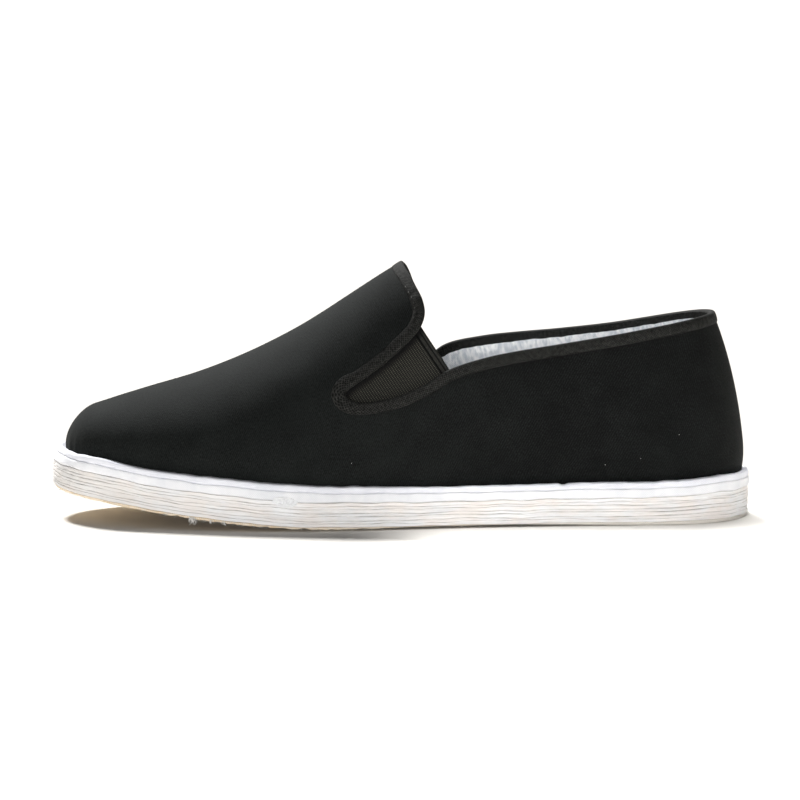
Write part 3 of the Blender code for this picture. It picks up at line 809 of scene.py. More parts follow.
def white_calico(name, pale, shaded, lump_depth, wrinkle_shade=0.0):
    """Bleached cotton calico, plain woven: chalky, with a fine weave and soft lumps from what it
    covers, and where asked, streaks of painted shade for small wrinkles. Threads of 0.35 mm are
    drawn at 0.6 mm."""
    material, tree = new_material(name, 0.93, 0.2, 0.15, 0.5)
    weave = crossed_threads(tree, "MULTIPLY", CALICO_PITCH, 38, 1.0)
    lumps = grain(tree, 2.6, 0.0, 2.4)
    shade = add_share(tree, grain(tree, 11.0, 0.0, 2.0), weave, 0.35)
    if wrinkle_shade:
        # Painted shade: streaks for the shade of small wrinkles
        painted_wrinkles = combine(tree, "SUBTRACT", grain(tree, 1.5, math.radians(12), 2.6), 0.5)
        shade = add_share(tree, shade, painted_wrinkles, wrinkle_shade)
    colour = two_colours(tree, between(tree, shade, 0.35, 0.85), shaded, pale)
    return finish_material(material, colour, (lumps, lump_depth, 0.8), (weave, 0.12 * MM, 0.5))


def cut_plies():
    """Cut edges of pasted and stitched cotton rag: off-white with a breath of pink, faintly
    streaked, slightly furry, with painted shade that makes it greyer towards the toe, and with
    thin grey lines where one ply meets the next."""
    material, tree = new_material("cut_plies", 0.96, 0.15, 0.2, 0.6)
    long_streaks = grain(tree, 22.0, 0.0, 0.03, 2.0)
    shade = add_share(tree, long_streaks, grain(tree, 7.0, 0.0, 0.045), 0.6)
    light = between(tree, shade, 0.5, 1.0)
    cold = two_colours(tree, light, "#E3E3E4", "#FAFAFB")
    warm = two_colours(tree, light, "#E5DFDB", "#FAF5F2")
    rosy = between(tree, grain(tree, 16.0, 0.0, 0.3), 0.4, 0.6)
    ply_tone = two_colours(tree, rosy, cold, warm)
    # Painted shade: greyer towards the toe
    ply_tone = two_colours(tree, along_shoe(tree, *PLIES_PAINTED_SHADE), ply_tone, "#CFCBC6")
    ply = combine(tree, "FRACT", axis_of(tree, cloth_place(tree), "Y"))
    line = between(tree, off_line(tree, ply, 0.5), 0.37, 0.5)
    uneven = between(tree, grain(tree, 9.0, 0.0, 0.1), 0.3, 0.68)
    colour = two_colours(tree, combine(tree, "MULTIPLY", line, uneven), ply_tone, "#9A938B")
    fur = add_share(tree, shade, grain(tree, 0.5), 0.5)
    return finish_material(material, colour, (fur, 0.2 * MM, 0.7))


def cream_canvas():
    """Unbleached cotton canvas under the sole: warm cream, coarse weave of 0.9 mm, rubbed paler
    towards the heel."""
    material, tree = new_material("cream_canvas", 0.95, 0.15)
    weave = crossed_threads(tree, "MULTIPLY", CANVAS_PITCH, 90, 0.6)
    shade = add_share(tree, grain(tree, 6.0, 0.0, 1.5), weave, 0.3)
    cream = two_colours(tree, between(tree, shade, 0.35, 0.8), "#EBD3AC", "#FBF0E0")
    colour = two_colours(tree, along_shoe(tree, *CANVAS_RUBBED), cream, "#EBE6DE")
    return finish_material(material, colour, (weave, 0.2 * MM, 0.7))


def plain_cotton(name, hex_colour, roughness):
    """Loose cotton fibre or thread: one colour, with small uneven places along it."""
    material, tree = new_material(name, roughness, 0.2, 0.3)
    darker = tuple(0.82 * part for part in linear(hex_colour)[:3]) + (1.0,)
    place = add_node(tree, "ShaderNodeTexCoord").outputs["Object"]
    uneven = add_node(tree, "ShaderNodeTexNoise", {}, {"Vector": place, "Scale": 0.6 / MM})
    return finish_material(material, two_colours(tree, uneven.outputs["Fac"], darker, hex_colour))


# The upper

def top_angles(x):
    """The angle at which the wall has cleared the collar at X."""
    path = opening_path(-1, PATH_STEPS)
    collar = path[len(path) - COLLAR_ROWS * PATH_STEPS - 1 :]
    edge_z = np.interp(x, collar[:, 0], collar[:, 1]) + TOPLINE_SPARE
    share = np.minimum(1.0, (edge_z - SOLE_THICK) / crest_height(x))
    meet = QUARTER * WALL_ARC_STEPS / DOME_ARC_STEPS
    return meet + (angle_at_share(x, share) - meet) * ease((x - DOME_END_X) / DOME_BLEND_RUN)


def girth_from_crest(x, side, angles):
    """Length along the section at X from the crest down to each angle."""
    samples = np.linspace(QUARTER, 0.0, GIRTH_SAMPLES)
    lengths = lengths_along(wall_points(x, side, samples))
    return np.interp(QUARTER - angles, QUARTER - samples, lengths)


def cloth_run(x):
    """Length along the wall from the middle of the shoe, round the heel too."""
    samples = np.linspace(HEEL_FAN_X, UPPER_HEEL_X, RUN_SAMPLES)
    lengths = lengths_along(np.stack([samples, upper_half(samples)], -1))
    return float(HEEL_FAN_X + np.interp(x, samples, lengths) if x > HEEL_FAN_X else x)


def upper_relief(points, side):
    """How far the cloth stands off its smooth shape: creases, gathers at the toe, heel seam."""
    relief = np.zeros(len(points))
    view = points[:, [0, 2]]
    for crease_side, start, end, half_width, depth in CREASES:
        start = np.array(start) * MM
        run = np.array(end) * MM - start
        share = np.clip(((view - start) @ run) / (run @ run), 0, 1)
        gap = np.linalg.norm(view - start - share[:, None] * run, axis=1)
        fade = np.sin(math.pi * np.clip(share, 0.02, 0.98)) ** 0.7
        relief -= (side == crease_side) * depth * MM * fade * bell(gap, half_width * MM)
    x, y, z = points.T
    around = np.arctan2(y, x - GATHER_CENTRE_X)
    gathers = 0.5 + 0.5 * np.sin(around * GATHERS + np.sin(around * 9) * 1.5)
    at_toe = ease((GATHER_START_X - x) / GATHER_RUN) * bell(z - layer_z(x, SOLE_THICK), GATHER_HEIGHT)
    relief -= GATHER_DEPTH * gathers * at_toe
    behind = ease((x - HEEL_SEAM_X) / HEEL_SEAM_RUN)
    relief -= HEEL_SEAM_DEPTH * behind * bell(y - HEEL_SEAM_Y, HEEL_SEAM_WIDTH)
    return relief


def upper_sheet(raise_by):
    """The upper's face as an open bmesh sheet moved outwards, with the place of each vertex on
    the cloth and its side (-1 lateral, +1 medial)."""
    work = bmesh.new()
    uv_of = {}
    side_of = {}
    toe = TOE_X + TOE_LEDGE

    def add_column(x, side, angles):
        girths = girth_from_crest(x, side, angles)
        run = cloth_run(x)
        places = [(run, side * girth) for girth in girths]
        column = add_row(work, uv_of, wall_points(np.full(len(angles), x), side, angles), places)
        side_of.update((vert, side) for vert in column)
        return column

    tip = add_column(toe + 0.01 * MM, -1, np.array([QUARTER]))[0]
    arches = []
    for step in range(1, DOME_STATIONS + 1):
        share = 1 - math.cos(QUARTER * (step / DOME_STATIONS) ** DOME_STEP_POWER)
        x = toe + (DOME_END_X - toe) * share
        angles = QUARTER * np.arange(DOME_ARC_STEPS + 1) / DOME_ARC_STEPS
        arches.append(add_column(x, -1, angles) + add_column(x, 1, angles[:-1])[::-1])
    for first, second in zip(arches[0], arches[0][1:]):
        work.faces.new((tip, first, second))
    join_rows(work, arches)
    wall_length = HEEL_FAN_X - DOME_END_X
    fan_length = UPPER_HEEL_X - HEEL_FAN_X
    rear = [DOME_END_X + wall_length * step / WALL_STATIONS for step in range(1, WALL_STATIONS + 1)]
    for step in range(1, FAN_STATIONS + 1):
        rear.append(HEEL_FAN_X + fan_length * math.sin(QUARTER * step / FAN_STATIONS))
    limits = top_angles(np.array(rear))
    columns = [arches[-1][: WALL_ARC_STEPS + 1]]
    for side, order in ((-1, range(len(rear))), (1, range(len(rear) - 2, -1, -1))):
        for place in order:
            angles = limits[place] * np.arange(WALL_ARC_STEPS + 1) / WALL_ARC_STEPS
            columns.append(add_column(rear[place], side, angles))
    columns.append(arches[-1][: -WALL_ARC_STEPS - 2 : -1])
    join_rows(work, columns)
    face_outwards(work, lambda faces: max(faces, key=lambda f: f.calc_center_median().z).normal.z < 0)
    work.normal_update()
    verts = list(work.verts)
    points = np.array([vert.co for vert in verts])
    relief = upper_relief(points, np.array([side_of[vert] for vert in verts]))
    moves = [vert.normal * (raise_by + float(stand)) for vert, stand in zip(verts, relief)]
    for vert, move in zip(verts, moves):
        vert.co += move
    return work, uv_of, side_of


def trim_sheet(work, uv_of, value):
    """Cut a sheet along the line where the value is zero, and keep where it is positive."""
    for edge in list(work.edges):
        first, second = edge.verts
        if value[first] * value[second] < 0:
            share = value[first] / (value[first] - value[second])
            place = [a + (b - a) * share for a, b in zip(uv_of[first], uv_of[second])]
            _, made = bmesh.utils.edge_split(edge, first, share)
            value[made] = 0.0
            uv_of[made] = place
    for face in list(work.faces):
        on_edge = [vert for vert in face.verts if value[vert] == 0.0]
        if len(on_edge) == 2:
            bmesh.utils.face_split(face, on_edge[0], on_edge[1])
    gone = [face for face in work.faces if min(value[vert] for vert in face.verts) < 0]
    bmesh.ops.delete(work, geom=gone, context="FACES")
    loose = [vert for vert in work.verts if not vert.link_faces]
    bmesh.ops.delete(work, geom=loose, context="VERTS")


def trim_to_opening(work, uv_of, side_of, back):
    """Cut the upper's sheet along the opening's edge, drawn back by a distance, and tell how far
    each vertex lies from the cut."""
    value = {}
    for side in (-1, 1):
        verts = [vert for vert in work.verts if side_of[vert] == side]
        view = np.array([(vert.co.x, vert.co.z) for vert in verts])
        distance = path_distance(view, opening_path(side, PATH_STEPS))
        value.update((vert, float(d) - back) for vert, d in zip(verts, distance))
    trim_sheet(work, uv_of, value)
    return value


def make_upper(material):
    """The serge upper; its whole untrimmed face guides the tape and the threads."""
    work, uv_of, side_of = upper_sheet(0.0)
    guide = BVHTree.FromBMesh(work)
    trim_to_opening(work, uv_of, side_of, SERGE_BACK)
    upper = fill_mesh(work, "serge_upper", uv_of)
    thicken(upper, SERGE_THICK)
    dress(upper, material, "upper")
    return guide


def make_lining(material):
    """White cotton inside the upper, with small wrinkles below its edge."""
    work, uv_of, side_of = upper_sheet(-SERGE_THICK - LINING_GAP)
    below_edge = trim_to_opening(work, uv_of, side_of, LINING_BACK)
    for vert in work.verts:
        loose = float(ease((below_edge[vert] - WRINKLE_START) / WRINKLE_RUN)) * MM
        x, y, z = vert.co / MM
        wrinkle = WRINKLE_DEPTH * (1 + lump(x / 8, y / 8, z / 3))
        pucker = PUCKER_DEPTH * (1 + lump(x / 2.5, y / 2.5, z / 5))
        vert.co -= vert.normal * (LINING_HANG + loose * (wrinkle + pucker))
    lining = fill_mesh(work, "cotton_lining", uv_of)
    thicken(lining, LINING_THICK)
    dress(lining, material)


# The tape round the opening

def opening_loop():
    """The opening's edge on the upper's face, as one closed line: from the heel along the
    lateral side to the tongue tip, and back along the medial side."""
    halves = []
    for side in (-1, 1):
        path = opening_path(side, FINE_PATH_STEPS)
        front = path[path[:, 0] < COLLAR_START_X]
        angle = side_view_angle(front[:, 0], front[:, 1])
        on_crest = np.flatnonzero(angle > QUARTER - 0.0001)
        first = on_crest[-1] if len(on_crest) else 0
        front_line = wall_points(front[first:, 0], side, angle[first:])
        collar = path[path[:, 0] >= COLLAR_START_X]
        share = np.linspace(0, 1, COLLAR_SAMPLES)
        straight = COLLAR_START_X + (HEEL_FAN_X - COLLAR_START_X) * share
        fan = HEEL_FAN_X + (UPPER_HEEL_X - HEEL_FAN_X) * np.sin(QUARTER * share)
        stations = np.concatenate([straight, fan[1:]])
        actual = stations.copy()
        for _ in range(6):
            edge_z = np.interp(actual, collar[:, 0], collar[:, 1])
            collar_line = side_view_points(stations, edge_z, side)
            actual = collar_line[:, 0]
        halves.append(np.concatenate([front_line, collar_line]))
    loop = np.concatenate([halves[0][::-1], halves[1][:-1]])
    keep = np.linalg.norm(loop - np.roll(loop, 1, axis=0), axis=1) > 0.001 * MM
    loop = loop[keep]
    closed = np.concatenate([loop, loop[:1]])
    lengths = lengths_along(closed)
    places = np.linspace(0, lengths[-1], int(lengths[-1] / TAPE_STEP), endpoint=False)
    even = point_at(places, lengths, closed)
    for _ in range(4):
        even = 0.5 * even + 0.25 * (np.roll(even, 1, axis=0) + np.roll(even, -1, axis=0))
    return even, places, lengths[-1]


def make_tape(guide, material):
    """Bias tape folded over the opening's edge, gathered where it turns round the notch."""
    line, places, length = opening_loop()
    share = places / length
    along = unit(np.roll(line, -2, axis=0) - np.roll(line, 2, axis=0))
    normals = np.array([guide.find_nearest(Vector(point))[1] for point in line])
    for _ in range(6):
        normals = unit(normals + np.roll(normals, 1, axis=0) + np.roll(normals, -1, axis=0))
    inward = unit(np.cross(normals, along))
    tip_x = np.where(line[:, 1] < 0, NOTCH_TIP[0], NOTCH_TIP[0] - NOTCH_FORWARD)
    gap = np.hypot(line[:, 0] - tip_x, line[:, 2] - NOTCH_TIP[1])
    wide = 1 + wander(TAPE_WIDTH_WAVE, share, length) + TAPE_FLARE * bell(gap, TAPE_FLARE_REACH)
    proud = 1 + wander(TAPE_HEIGHT_WAVE, share, length)
    proud *= 1 - TONGUE_FLATTEN * ease((line[:, 2] - TONGUE_FLAT_Z) / TONGUE_FLAT_RUN)
    ragged = MM * wander(TAPE_INNER_WAVE, share, length)
    inner_share = np.interp(line[:, 0] / MM, INNER_BAND_X, INNER_BAND_SHARE)
    pucker = TAPE_PUCKER_DEPTH * np.sin(2 * math.pi * places / TAPE_PUCKER_PITCH)
    pucker *= bell(gap, TAPE_PUCKER_REACH)
    pull = STITCH_PULL * (0.5 + 0.5 * np.cos(2 * math.pi * places / STITCH_PITCH))
    profile = np.array(TAPE_SECTION) * MM
    width = profile[:, 0].max()
    across = lengths_along(profile)
    work = bmesh.new()
    uv_of = {}
    rings = []
    for i in range(len(line)):
        points = []
        for into, height in profile:
            if height >= TAPE_OUTER_FROM:
                into = into * wide[i]
                swell = math.sin(math.pi * min(1.0, into / width))
                height = height * proud[i] + pucker[i] * swell
                height -= pull[i] * bell(into - STITCH_LINE, STITCH_GROOVE)
            if height < TAPE_INNER_BELOW:
                into = into * inner_share[i] + ragged[i] * (into / width) ** 2
            base = Vector(line[i]) + Vector(inward[i]) * into
            normal = Vector(normals[i])
            if into > TAPE_EDGE_ROUND:
                base, face_normal, _, _ = guide.find_nearest(base)
                normal = (face_normal + normal * 0.5).normalized()
            points.append(base + normal * height)
        rings.append(add_row(work, uv_of, points, [(places[i], v) for v in across]))
    join_rows(work, rings + rings[:1], closed=True)
    bmesh.ops.recalc_face_normals(work, faces=work.faces[:])
    dress(fill_mesh(work, "edge_tape", uv_of), material, "opening_binding")
    return line, inward, places


# The elastic

def make_elastic(side, side_name, material):
    """Ribbed elastic behind one notch: its free edge is folded over and stitched."""
    forward = MEDIAL_FORWARD if side > 0 else 0.0
    outline = np.array([(x * MM - forward, z * MM) for x, z in GUSSET_OUTLINE])
    top = outline[0]
    free_edge = outline[-1] - top
    edge_length = np.linalg.norm(free_edge)
    down = free_edge / edge_length
    across = np.array([-abs(down[1]), -down[0]])
    into = np.linspace(0, ELASTIC_REACH, int(ELASTIC_REACH / (RIB_PITCH / RIB_SAMPLES)))
    along = np.linspace(-ELASTIC_ABOVE, edge_length + ELASTIC_BELOW, ELASTIC_COLUMNS)
    grid_into, grid_along = np.meshgrid(into, along, indexing="ij")
    view = top + grid_into[..., None] * across + grid_along[..., None] * down
    flat = view.reshape(-1, 2)
    x, z = flat.T
    points = side_view_points(x, z, side)
    step = 0.2 * MM
    ahead = side_view_points(x + step, z, side)
    below = side_view_points(x, z - step, side)
    normals = unit(np.cross(ahead - points, below - points))
    normals *= np.where(normals[:, 1] * side > 0, 1.0, -1.0)[:, None]
    gone_in = grid_into.ravel()
    rib = RIB_HEIGHT * 0.5 * (np.cos(2 * math.pi * gone_in / RIB_PITCH) - 1)
    in_hem = ease((HEM_WIDTH - gone_in) / (0.4 * MM))
    hem = HEM_HEIGHT * in_hem
    for place in HEM_FOLDS:
        hem -= HEM_HEIGHT * bell(gone_in - place * MM, FOLD_WIDTH)
    hem -= HEM_EDGE_ROUND * ease((HEM_EDGE_ROUND - gone_in) / HEM_EDGE_ROUND)
    stand = rib * (1 - in_hem) + hem - ELASTIC_DEPTH
    inside = -path_distance(flat, outline, True) + 0.02 * MM
    vamp_edge = opening_path(side, PATH_STEPS)[: TONGUE_ROWS * PATH_STEPS + 1]
    # Distance from the vamp's edge, for the elastic's painted shade
    shelter = np.abs(path_distance(flat, vamp_edge))
    work = bmesh.new()
    uv_of = {}
    places = zip(gone_in, grid_along.ravel(), shelter, np.zeros(len(flat)))
    verts = add_row(work, uv_of, points + normals * stand[:, None], places)
    starts = range(0, len(verts), ELASTIC_COLUMNS)
    join_rows(work, [verts[start : start + ELASTIC_COLUMNS] for start in starts])
    trim_sheet(work, uv_of, {vert: float(depth) for vert, depth in zip(verts, inside)})
    face_outwards(work, lambda faces: faces[0].normal.y * side < 0)
    elastic = fill_mesh(work, "elastic_" + side_name, uv_of)
    thicken(elastic, ELASTIC_THICK)
    dress(elastic, material, "gusset_" + side_name)


# The sole

def cosine_spaced(start, end):
    """Places from start to end, closer together near both ends."""
    turn = np.arange(RING_STEPS + 1) / RING_STEPS
    return start + (end - start) * 0.5 * (1 - np.cos(math.pi * turn))


def sole_outline():
    """The sole's outline, closed: points, outward directions, and the run to each point."""
    x = cosine_spaced(TOE_X, HEEL_X)
    half = outline_half(x, 0, 0, 0, SOLE_TOE_ROUND, SOLE_HEEL_ROUND)
    lateral = np.stack([x, middle_y(x) - half], -1)
    medial = np.stack([x, middle_y(x) + half], -1)
    points = np.concatenate([lateral, medial[-2:0:-1]])
    along = np.roll(points, -1, axis=0) - np.roll(points, 1, axis=0)
    outward = unit(np.stack([along[:, 1], -along[:, 0]], -1))
    lengths = lengths_along(np.concatenate([points, points[:1]]))
    return points, outward, lengths[:-1], lengths[-1]


OUTLINE, OUTWARD, OUTLINE_RUN, OUTLINE_LENGTH = sole_outline()


def round_the_sole(wave, ply=0):
    """A wave round the outline, in metres."""
    seed, *rest = wave
    return MM * wander((seed + ply, *rest), OUTLINE_RUN / OUTLINE_LENGTH, OUTLINE_LENGTH)


def ply_edge(low, high, inset, round_depth, power, steps):
    """Rings of one cloth edge between two heights: flat in the middle and rounded at its
    corners.  Each ring is (inset, height), an array round the outline."""
    rings = []
    for step in range(steps + 1):
        share = 0.5 - 0.5 * math.cos(math.pi * step / steps)
        corner = abs(2 * share - 1) ** power
        rings.append((inset + round_depth * corner, low + (high - low) * share))
    return rings


def ply_place(number, steps):
    """Which ply a ring lies on and how far up it, for rings spaced as in ply_edge."""
    ply, step = divmod(number, steps)
    return (ply + 0.5 - 0.5 * math.cos(math.pi * step / steps)) * MM


def loft_layer(name, rings, ply_steps=0):
    """A closed layer from its side rings; the first and last rings are capped across.  Its place
    on the cloth counts millimetres up the edge, or whole plies where a ply has so many rings."""
    work = bmesh.new()
    uv_of = {}
    made = []
    count = len(OUTLINE)
    at_toe = ease((TOE_X + TOE_LEAN_RUN - OUTLINE[:, 0]) / TOE_LEAN_RUN)
    up = 0.0
    before = None
    for number, (inset, height) in enumerate(rings):
        share = height / SOLE_THICK
        lean = TOE_LEAN * share**3 - TOE_BULGE * (1 - (1 - share) ** 6)
        flat = OUTLINE - OUTWARD * (inset + at_toe * lean)[:, None]
        points = np.column_stack([flat, layer_z(flat[:, 0], height)])
        if before is not None:
            up += float(np.linalg.norm(points - before, axis=1).mean())
        before = points
        place = ply_place(number, ply_steps) if ply_steps else up
        made.append(add_row(work, uv_of, points, [(run, place) for run in OUTLINE_RUN]))
    join_rows(work, made, closed=True)
    for ring in (made[0], made[-1]):
        for i in range(RING_STEPS):
            corners = [ring[i], ring[i + 1], ring[(-i - 1) % count], ring[-i % count]]
            work.faces.new(list(dict.fromkeys(corners)))
    bmesh.ops.recalc_face_normals(work, faces=work.faces[:])
    return fill_mesh(work, name, uv_of)


def lateral_spot(x, half_length):
    """A soft bump round the outline: 1 at this X on the lateral side, in millimetres."""
    on_side = OUTLINE[:, 1] < middle_y(OUTLINE[:, 0])
    return on_side * bell(OUTLINE[:, 0] / MM - x, half_length)


def make_tread(tread_line, material):
    """The canvas under the sole: frayed at its edge, and clear of the floor at the waist."""
    x = OUTLINE[:, 0]
    forefoot = bell(x - FRAYED_X, FRAYED_REACH)
    frayed = np.abs(round_the_sole(FRAY_WAVE))
    inset = TREAD_INSET + frayed * (FRAY_INSET[0] + FRAY_INSET[1] * forefoot)
    lifted = FRONT_LIFT * ease((FRONT_LIFT_X - x) / FRONT_LIFT_RUN)
    lifted = lifted + WAIST_LIFT * bell(x - WAIST_X, WAIST_REACH)
    floor_line = lifted + frayed * (FRAY_LIFT[0] + FRAY_LIFT[1] * forefoot)
    floor_line = np.minimum(floor_line, LIFT_LIMIT)
    rings = ply_edge(floor_line, tread_line - LAYER_GAP, inset, *TREAD_CORNER)
    rings.insert(0, (inset + TREAD_HIDDEN_INSET, np.zeros(len(OUTLINE))))
    dress(loft_layer("tread_cloth", rings), material, "sole_bottom_ply")


def make_core(tread_line, core_line, material):
    """The pile of plies, each edge a little different, with a few open cracks."""
    lines = [tread_line]
    for ply in range(1, CORE_PLIES):
        share = ply / CORE_PLIES + PLY_SHIFTS[ply - 1]
        level = tread_line + (core_line - tread_line) * share
        lines.append(level + round_the_sole(PLY_LINE_WAVE, ply))
    lines.append(core_line)
    cracks = np.zeros((CORE_PLIES, len(OUTLINE)))
    for ply, x, half_length in PLY_CRACKS:
        cracks[ply - 1 : ply + 1] += PLY_CRACK_DEPTH * lateral_spot(x, half_length)
    core = []
    for ply in range(CORE_PLIES):
        inset = CORE_INSET + round_the_sole(PLY_EDGE_WAVE, ply)
        depth = PLY_CORNER_DEPTH + round_the_sole(PLY_CORNER_WAVE, ply)
        depth = np.clip(depth, *PLY_CORNER_LIMITS) + cracks[ply]
        low = lines[ply] + (LAYER_GAP if ply == 0 else 0.0)
        high = lines[ply + 1] - (LAYER_GAP if ply == CORE_PLIES - 1 else 0.0)
        edge = ply_edge(low, high, inset, depth, PLY_CORNER_POWER, PLY_RINGS)
        if core:
            shared = 0.5 * (core[-1][0] + edge[0][0])
            core[-1] = (shared, core[-1][1])
            edge = edge[1:]
        core += edge
    dress(loft_layer("stitched_plies", core, PLY_RINGS), material, "sole_core")


def make_sole(top_calico, calico, plies, canvas):
    rise = read_table(TOP_LINE_RISE, 1, OUTLINE[:, 0] / MM) * MM
    tread_line = TREAD_TOP + round_the_sole(TREAD_WAVE)
    core_line = CORE_TOP + CORE_RISE_SHARE * rise + round_the_sole(CORE_WAVE)
    second_line = SECOND_LAYER_TOP + SECOND_RISE_SHARE * rise + round_the_sole(SECOND_WAVE)
    nick_x, nick_half, nick_depth = RIM_NICK
    top_line = SOLE_THICK + rise + round_the_sole(TOP_WAVE)
    top_line = top_line - nick_depth * MM * lateral_spot(nick_x, nick_half)
    make_tread(tread_line, canvas)
    make_core(tread_line, core_line, plies)
    seam_x, seam_half, seam_depth = OPEN_SEAM
    low = core_line + 0.05 * MM + 0.09 * np.abs(round_the_sole(CORE_GAP_WAVE))
    high = second_line - (0.05 + seam_depth * lateral_spot(seam_x, seam_half)) * MM
    second = ply_edge(low, high, round_the_sole(SECOND_EDGE_WAVE), *SECOND_CORNER)
    dress(loft_layer("second_layer", second), calico, "sole_band_lower")
    top_inset = TOP_INSET + round_the_sole(TOP_EDGE_WAVE)
    top = ply_edge(second_line + LAYER_GAP, top_line, top_inset, *TOP_CORNER)
    at_toe = ease((LEDGE_TOE_X - OUTLINE[:, 0]) / LEDGE_TOE_RUN)
    groove_share = LEDGE_SIDE_SHARE + (1 - LEDGE_SIDE_SHARE) * at_toe
    for inset, stand in LEDGE_GROOVE:
        top.append((top_inset + inset * MM, top_line + (LEDGE_RISE + stand * groove_share) * MM))
    dress(loft_layer("top_layer", top), top_calico, "sole_band_upper")


def make_sock(material):
    """The cloth sock on the sole inside, with a soft edge."""
    low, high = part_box("insole")
    x = cosine_spaced(low.x, high.x)
    half = upper_half(x, WALL_THICK + TUCK_IN + UPPER_LIFT)
    work = bmesh.new()
    sides = {-1: [], 1: []}
    for share, height in SOCK_EDGE:
        z = layer_z(x, SOLE_THICK + SOCK_LIFT + SOCK_THICK * height)
        for side, rows in sides.items():
            y = middle_y(x) + side * half * share
            rows.append(add_row(work, {}, zip(x, y, z), x))
    rows = sides[-1] + sides[1][::-1]
    join_rows(work, rows + rows[:1])
    bmesh.ops.remove_doubles(work, verts=work.verts[:], dist=0.001 * MM)
    bmesh.ops.recalc_face_normals(work, faces=work.faces[:])
    uv_of = {vert: (vert.co.x, vert.co.y) for vert in work.verts}
    dress(fill_mesh(work, "sock_lining", uv_of), material, "insole")


# Threads and lint

def thread_piece(name, paths, radius, material):
    """Thin round threads along the given lines, joined into one mesh."""
    curve = bpy.data.curves.new(name + "_lines", "CURVE")
    curve.dimensions = "3D"
    curve.bevel_depth = radius
    curve.bevel_resolution = 1
    curve.use_fill_caps = True
    for path in paths:
        spline = curve.splines.new("POLY")
        spline.points.add(len(path) - 1)
        for point, place in zip(spline.points, path):
            point.co = (*place, 1.0)
            point.radius = 1.0
        spline.points[-1].radius = 0.5
    holder = bpy.data.objects.new(name + "_lines", curve)
    bpy.context.scene.collection.objects.link(holder)
    bpy.context.view_layer.update()
    evaluated = holder.evaluated_get(bpy.context.evaluated_depsgraph_get())
    mesh = bpy.data.meshes.new_from_object(evaluated)
    bpy.data.objects.remove(holder)
    mesh.name = name
    mesh.shade_smooth()
    piece = bpy.data.objects.new(name, mesh)
    bpy.context.scene.collection.objects.link(piece)
    return dress(piece, material)


def lateral_edge_point(x, height):
    """A point on the lateral side of the sole at X and a height."""
    lateral = slice(0, RING_STEPS + 1)
    y = np.interp(x, OUTLINE[lateral, 0], OUTLINE[lateral, 1])
    return Vector((x, y, float(layer_z(np.array(x), height))))


def make_bottom_fuzz(material):
    """Short cotton fibres along the lower edge of the sole."""
    dice = random.Random(7)
    paths = []
    for _ in range(FUZZ_TRIES):
        i = dice.randrange(len(OUTLINE))
        x, y = OUTLINE[i]
        if dice.random() > 0.15 + 0.85 * bell(x - FUZZ_CENTRE_X, FUZZ_REACH):
            continue
        out = Vector((OUTWARD[i][0], OUTWARD[i][1], 0.0))
        along = Vector((-out.y, out.x, 0.0))
        height = dice.uniform(0.2, 1.3) * MM
        start = Vector((x, y, float(layer_z(np.array(x), height)))) - out * FUZZ_DEPTH
        length = dice.uniform(0.7, 1.9) * MM
        lean = dice.uniform(-0.8, 0.8)
        path = []
        for step in range(5):
            share = step / 4
            place = start + out * (length * share) + along * (lean * length * share * share)
            place.z = max(place.z - length * 0.35 * share * share, 0.08 * MM)
            path.append(place)
        paths.append(path)
    thread_piece("sole_fuzz", paths, FUZZ_THREAD, material)


def make_loose_threads(material):
    """Tufts of thread that hang from the sole's lower edge at the forefoot."""
    dice = random.Random(21)
    paths = []
    for tuft_x, number, longest in TUFTS:
        for _ in range(number):
            start = lateral_edge_point(tuft_x * MM, TUFT_HEIGHT)
            start.y += 0.7 * MM
            start.x += dice.uniform(-0.7, 0.7) * MM
            length = longest * MM * dice.uniform(0.5, 1.0)
            swing = dice.uniform(-0.5, 0.7)
            curl = dice.uniform(-0.5, 0.5)
            path = []
            for step in range(8):
                share = step / 7
                x = start.x + length * (swing * share + curl * math.sin(math.pi * share) * 0.5)
                y = start.y - 1.1 * MM * math.sqrt(share)
                path.append((x, y, max(start.z - length * share, 0.12 * MM)))
            paths.append(path)
    thread_piece("hanging_threads", paths, TUFT_THREAD, material)


def make_flake(material):
    """A flake of cotton wool caught across the line between the plies and the second layer."""
    centre = lateral_edge_point(FLAKE_X * MM, FLAKE_HEIGHT * MM)
    work = bmesh.new()
    grid = []
    for i in range(FLAKE_COLUMNS):
        column = []
        for j in range(FLAKE_ROWS):
            u = 2 * i / (FLAKE_COLUMNS - 1) - 1
            v = 2 * j / (FLAKE_ROWS - 1) - 1
            round_u = u * math.sqrt(1 - v * v / 2)
            round_v = v * math.sqrt(1 - u * u / 2)
            ragged = 1 + 0.16 * lump(round_u * 3, round_v * 3, 4.0)
            x = centre.x + FLAKE_HALF_LENGTH * MM * round_u * ragged
            z = centre.z + (FLAKE_HALF_HEIGHT * round_v * ragged - FLAKE_TILT * round_u) * MM
            edge = 1 - max(abs(u), abs(v)) ** 2
            fluff = lump(round_u * 6, round_v * 3.2, 9.0) + 0.5 * lump(round_u * 14, round_v * 8, 2.0)
            stand = 0.15 + edge * (0.45 + 0.5 * fluff)
            y = lateral_edge_point(x, FLAKE_HEIGHT * MM).y - stand * MM
            column.append(work.verts.new((x, y, z)))
        grid.append(column)
    join_rows(work, grid)
    face_outwards(work, lambda faces: sum(face.normal.y for face in faces) > 0)
    flake = fill_mesh(work, "cotton_flake")
    thicken(flake, FLAKE_THICK * MM)
    dress(flake, material)


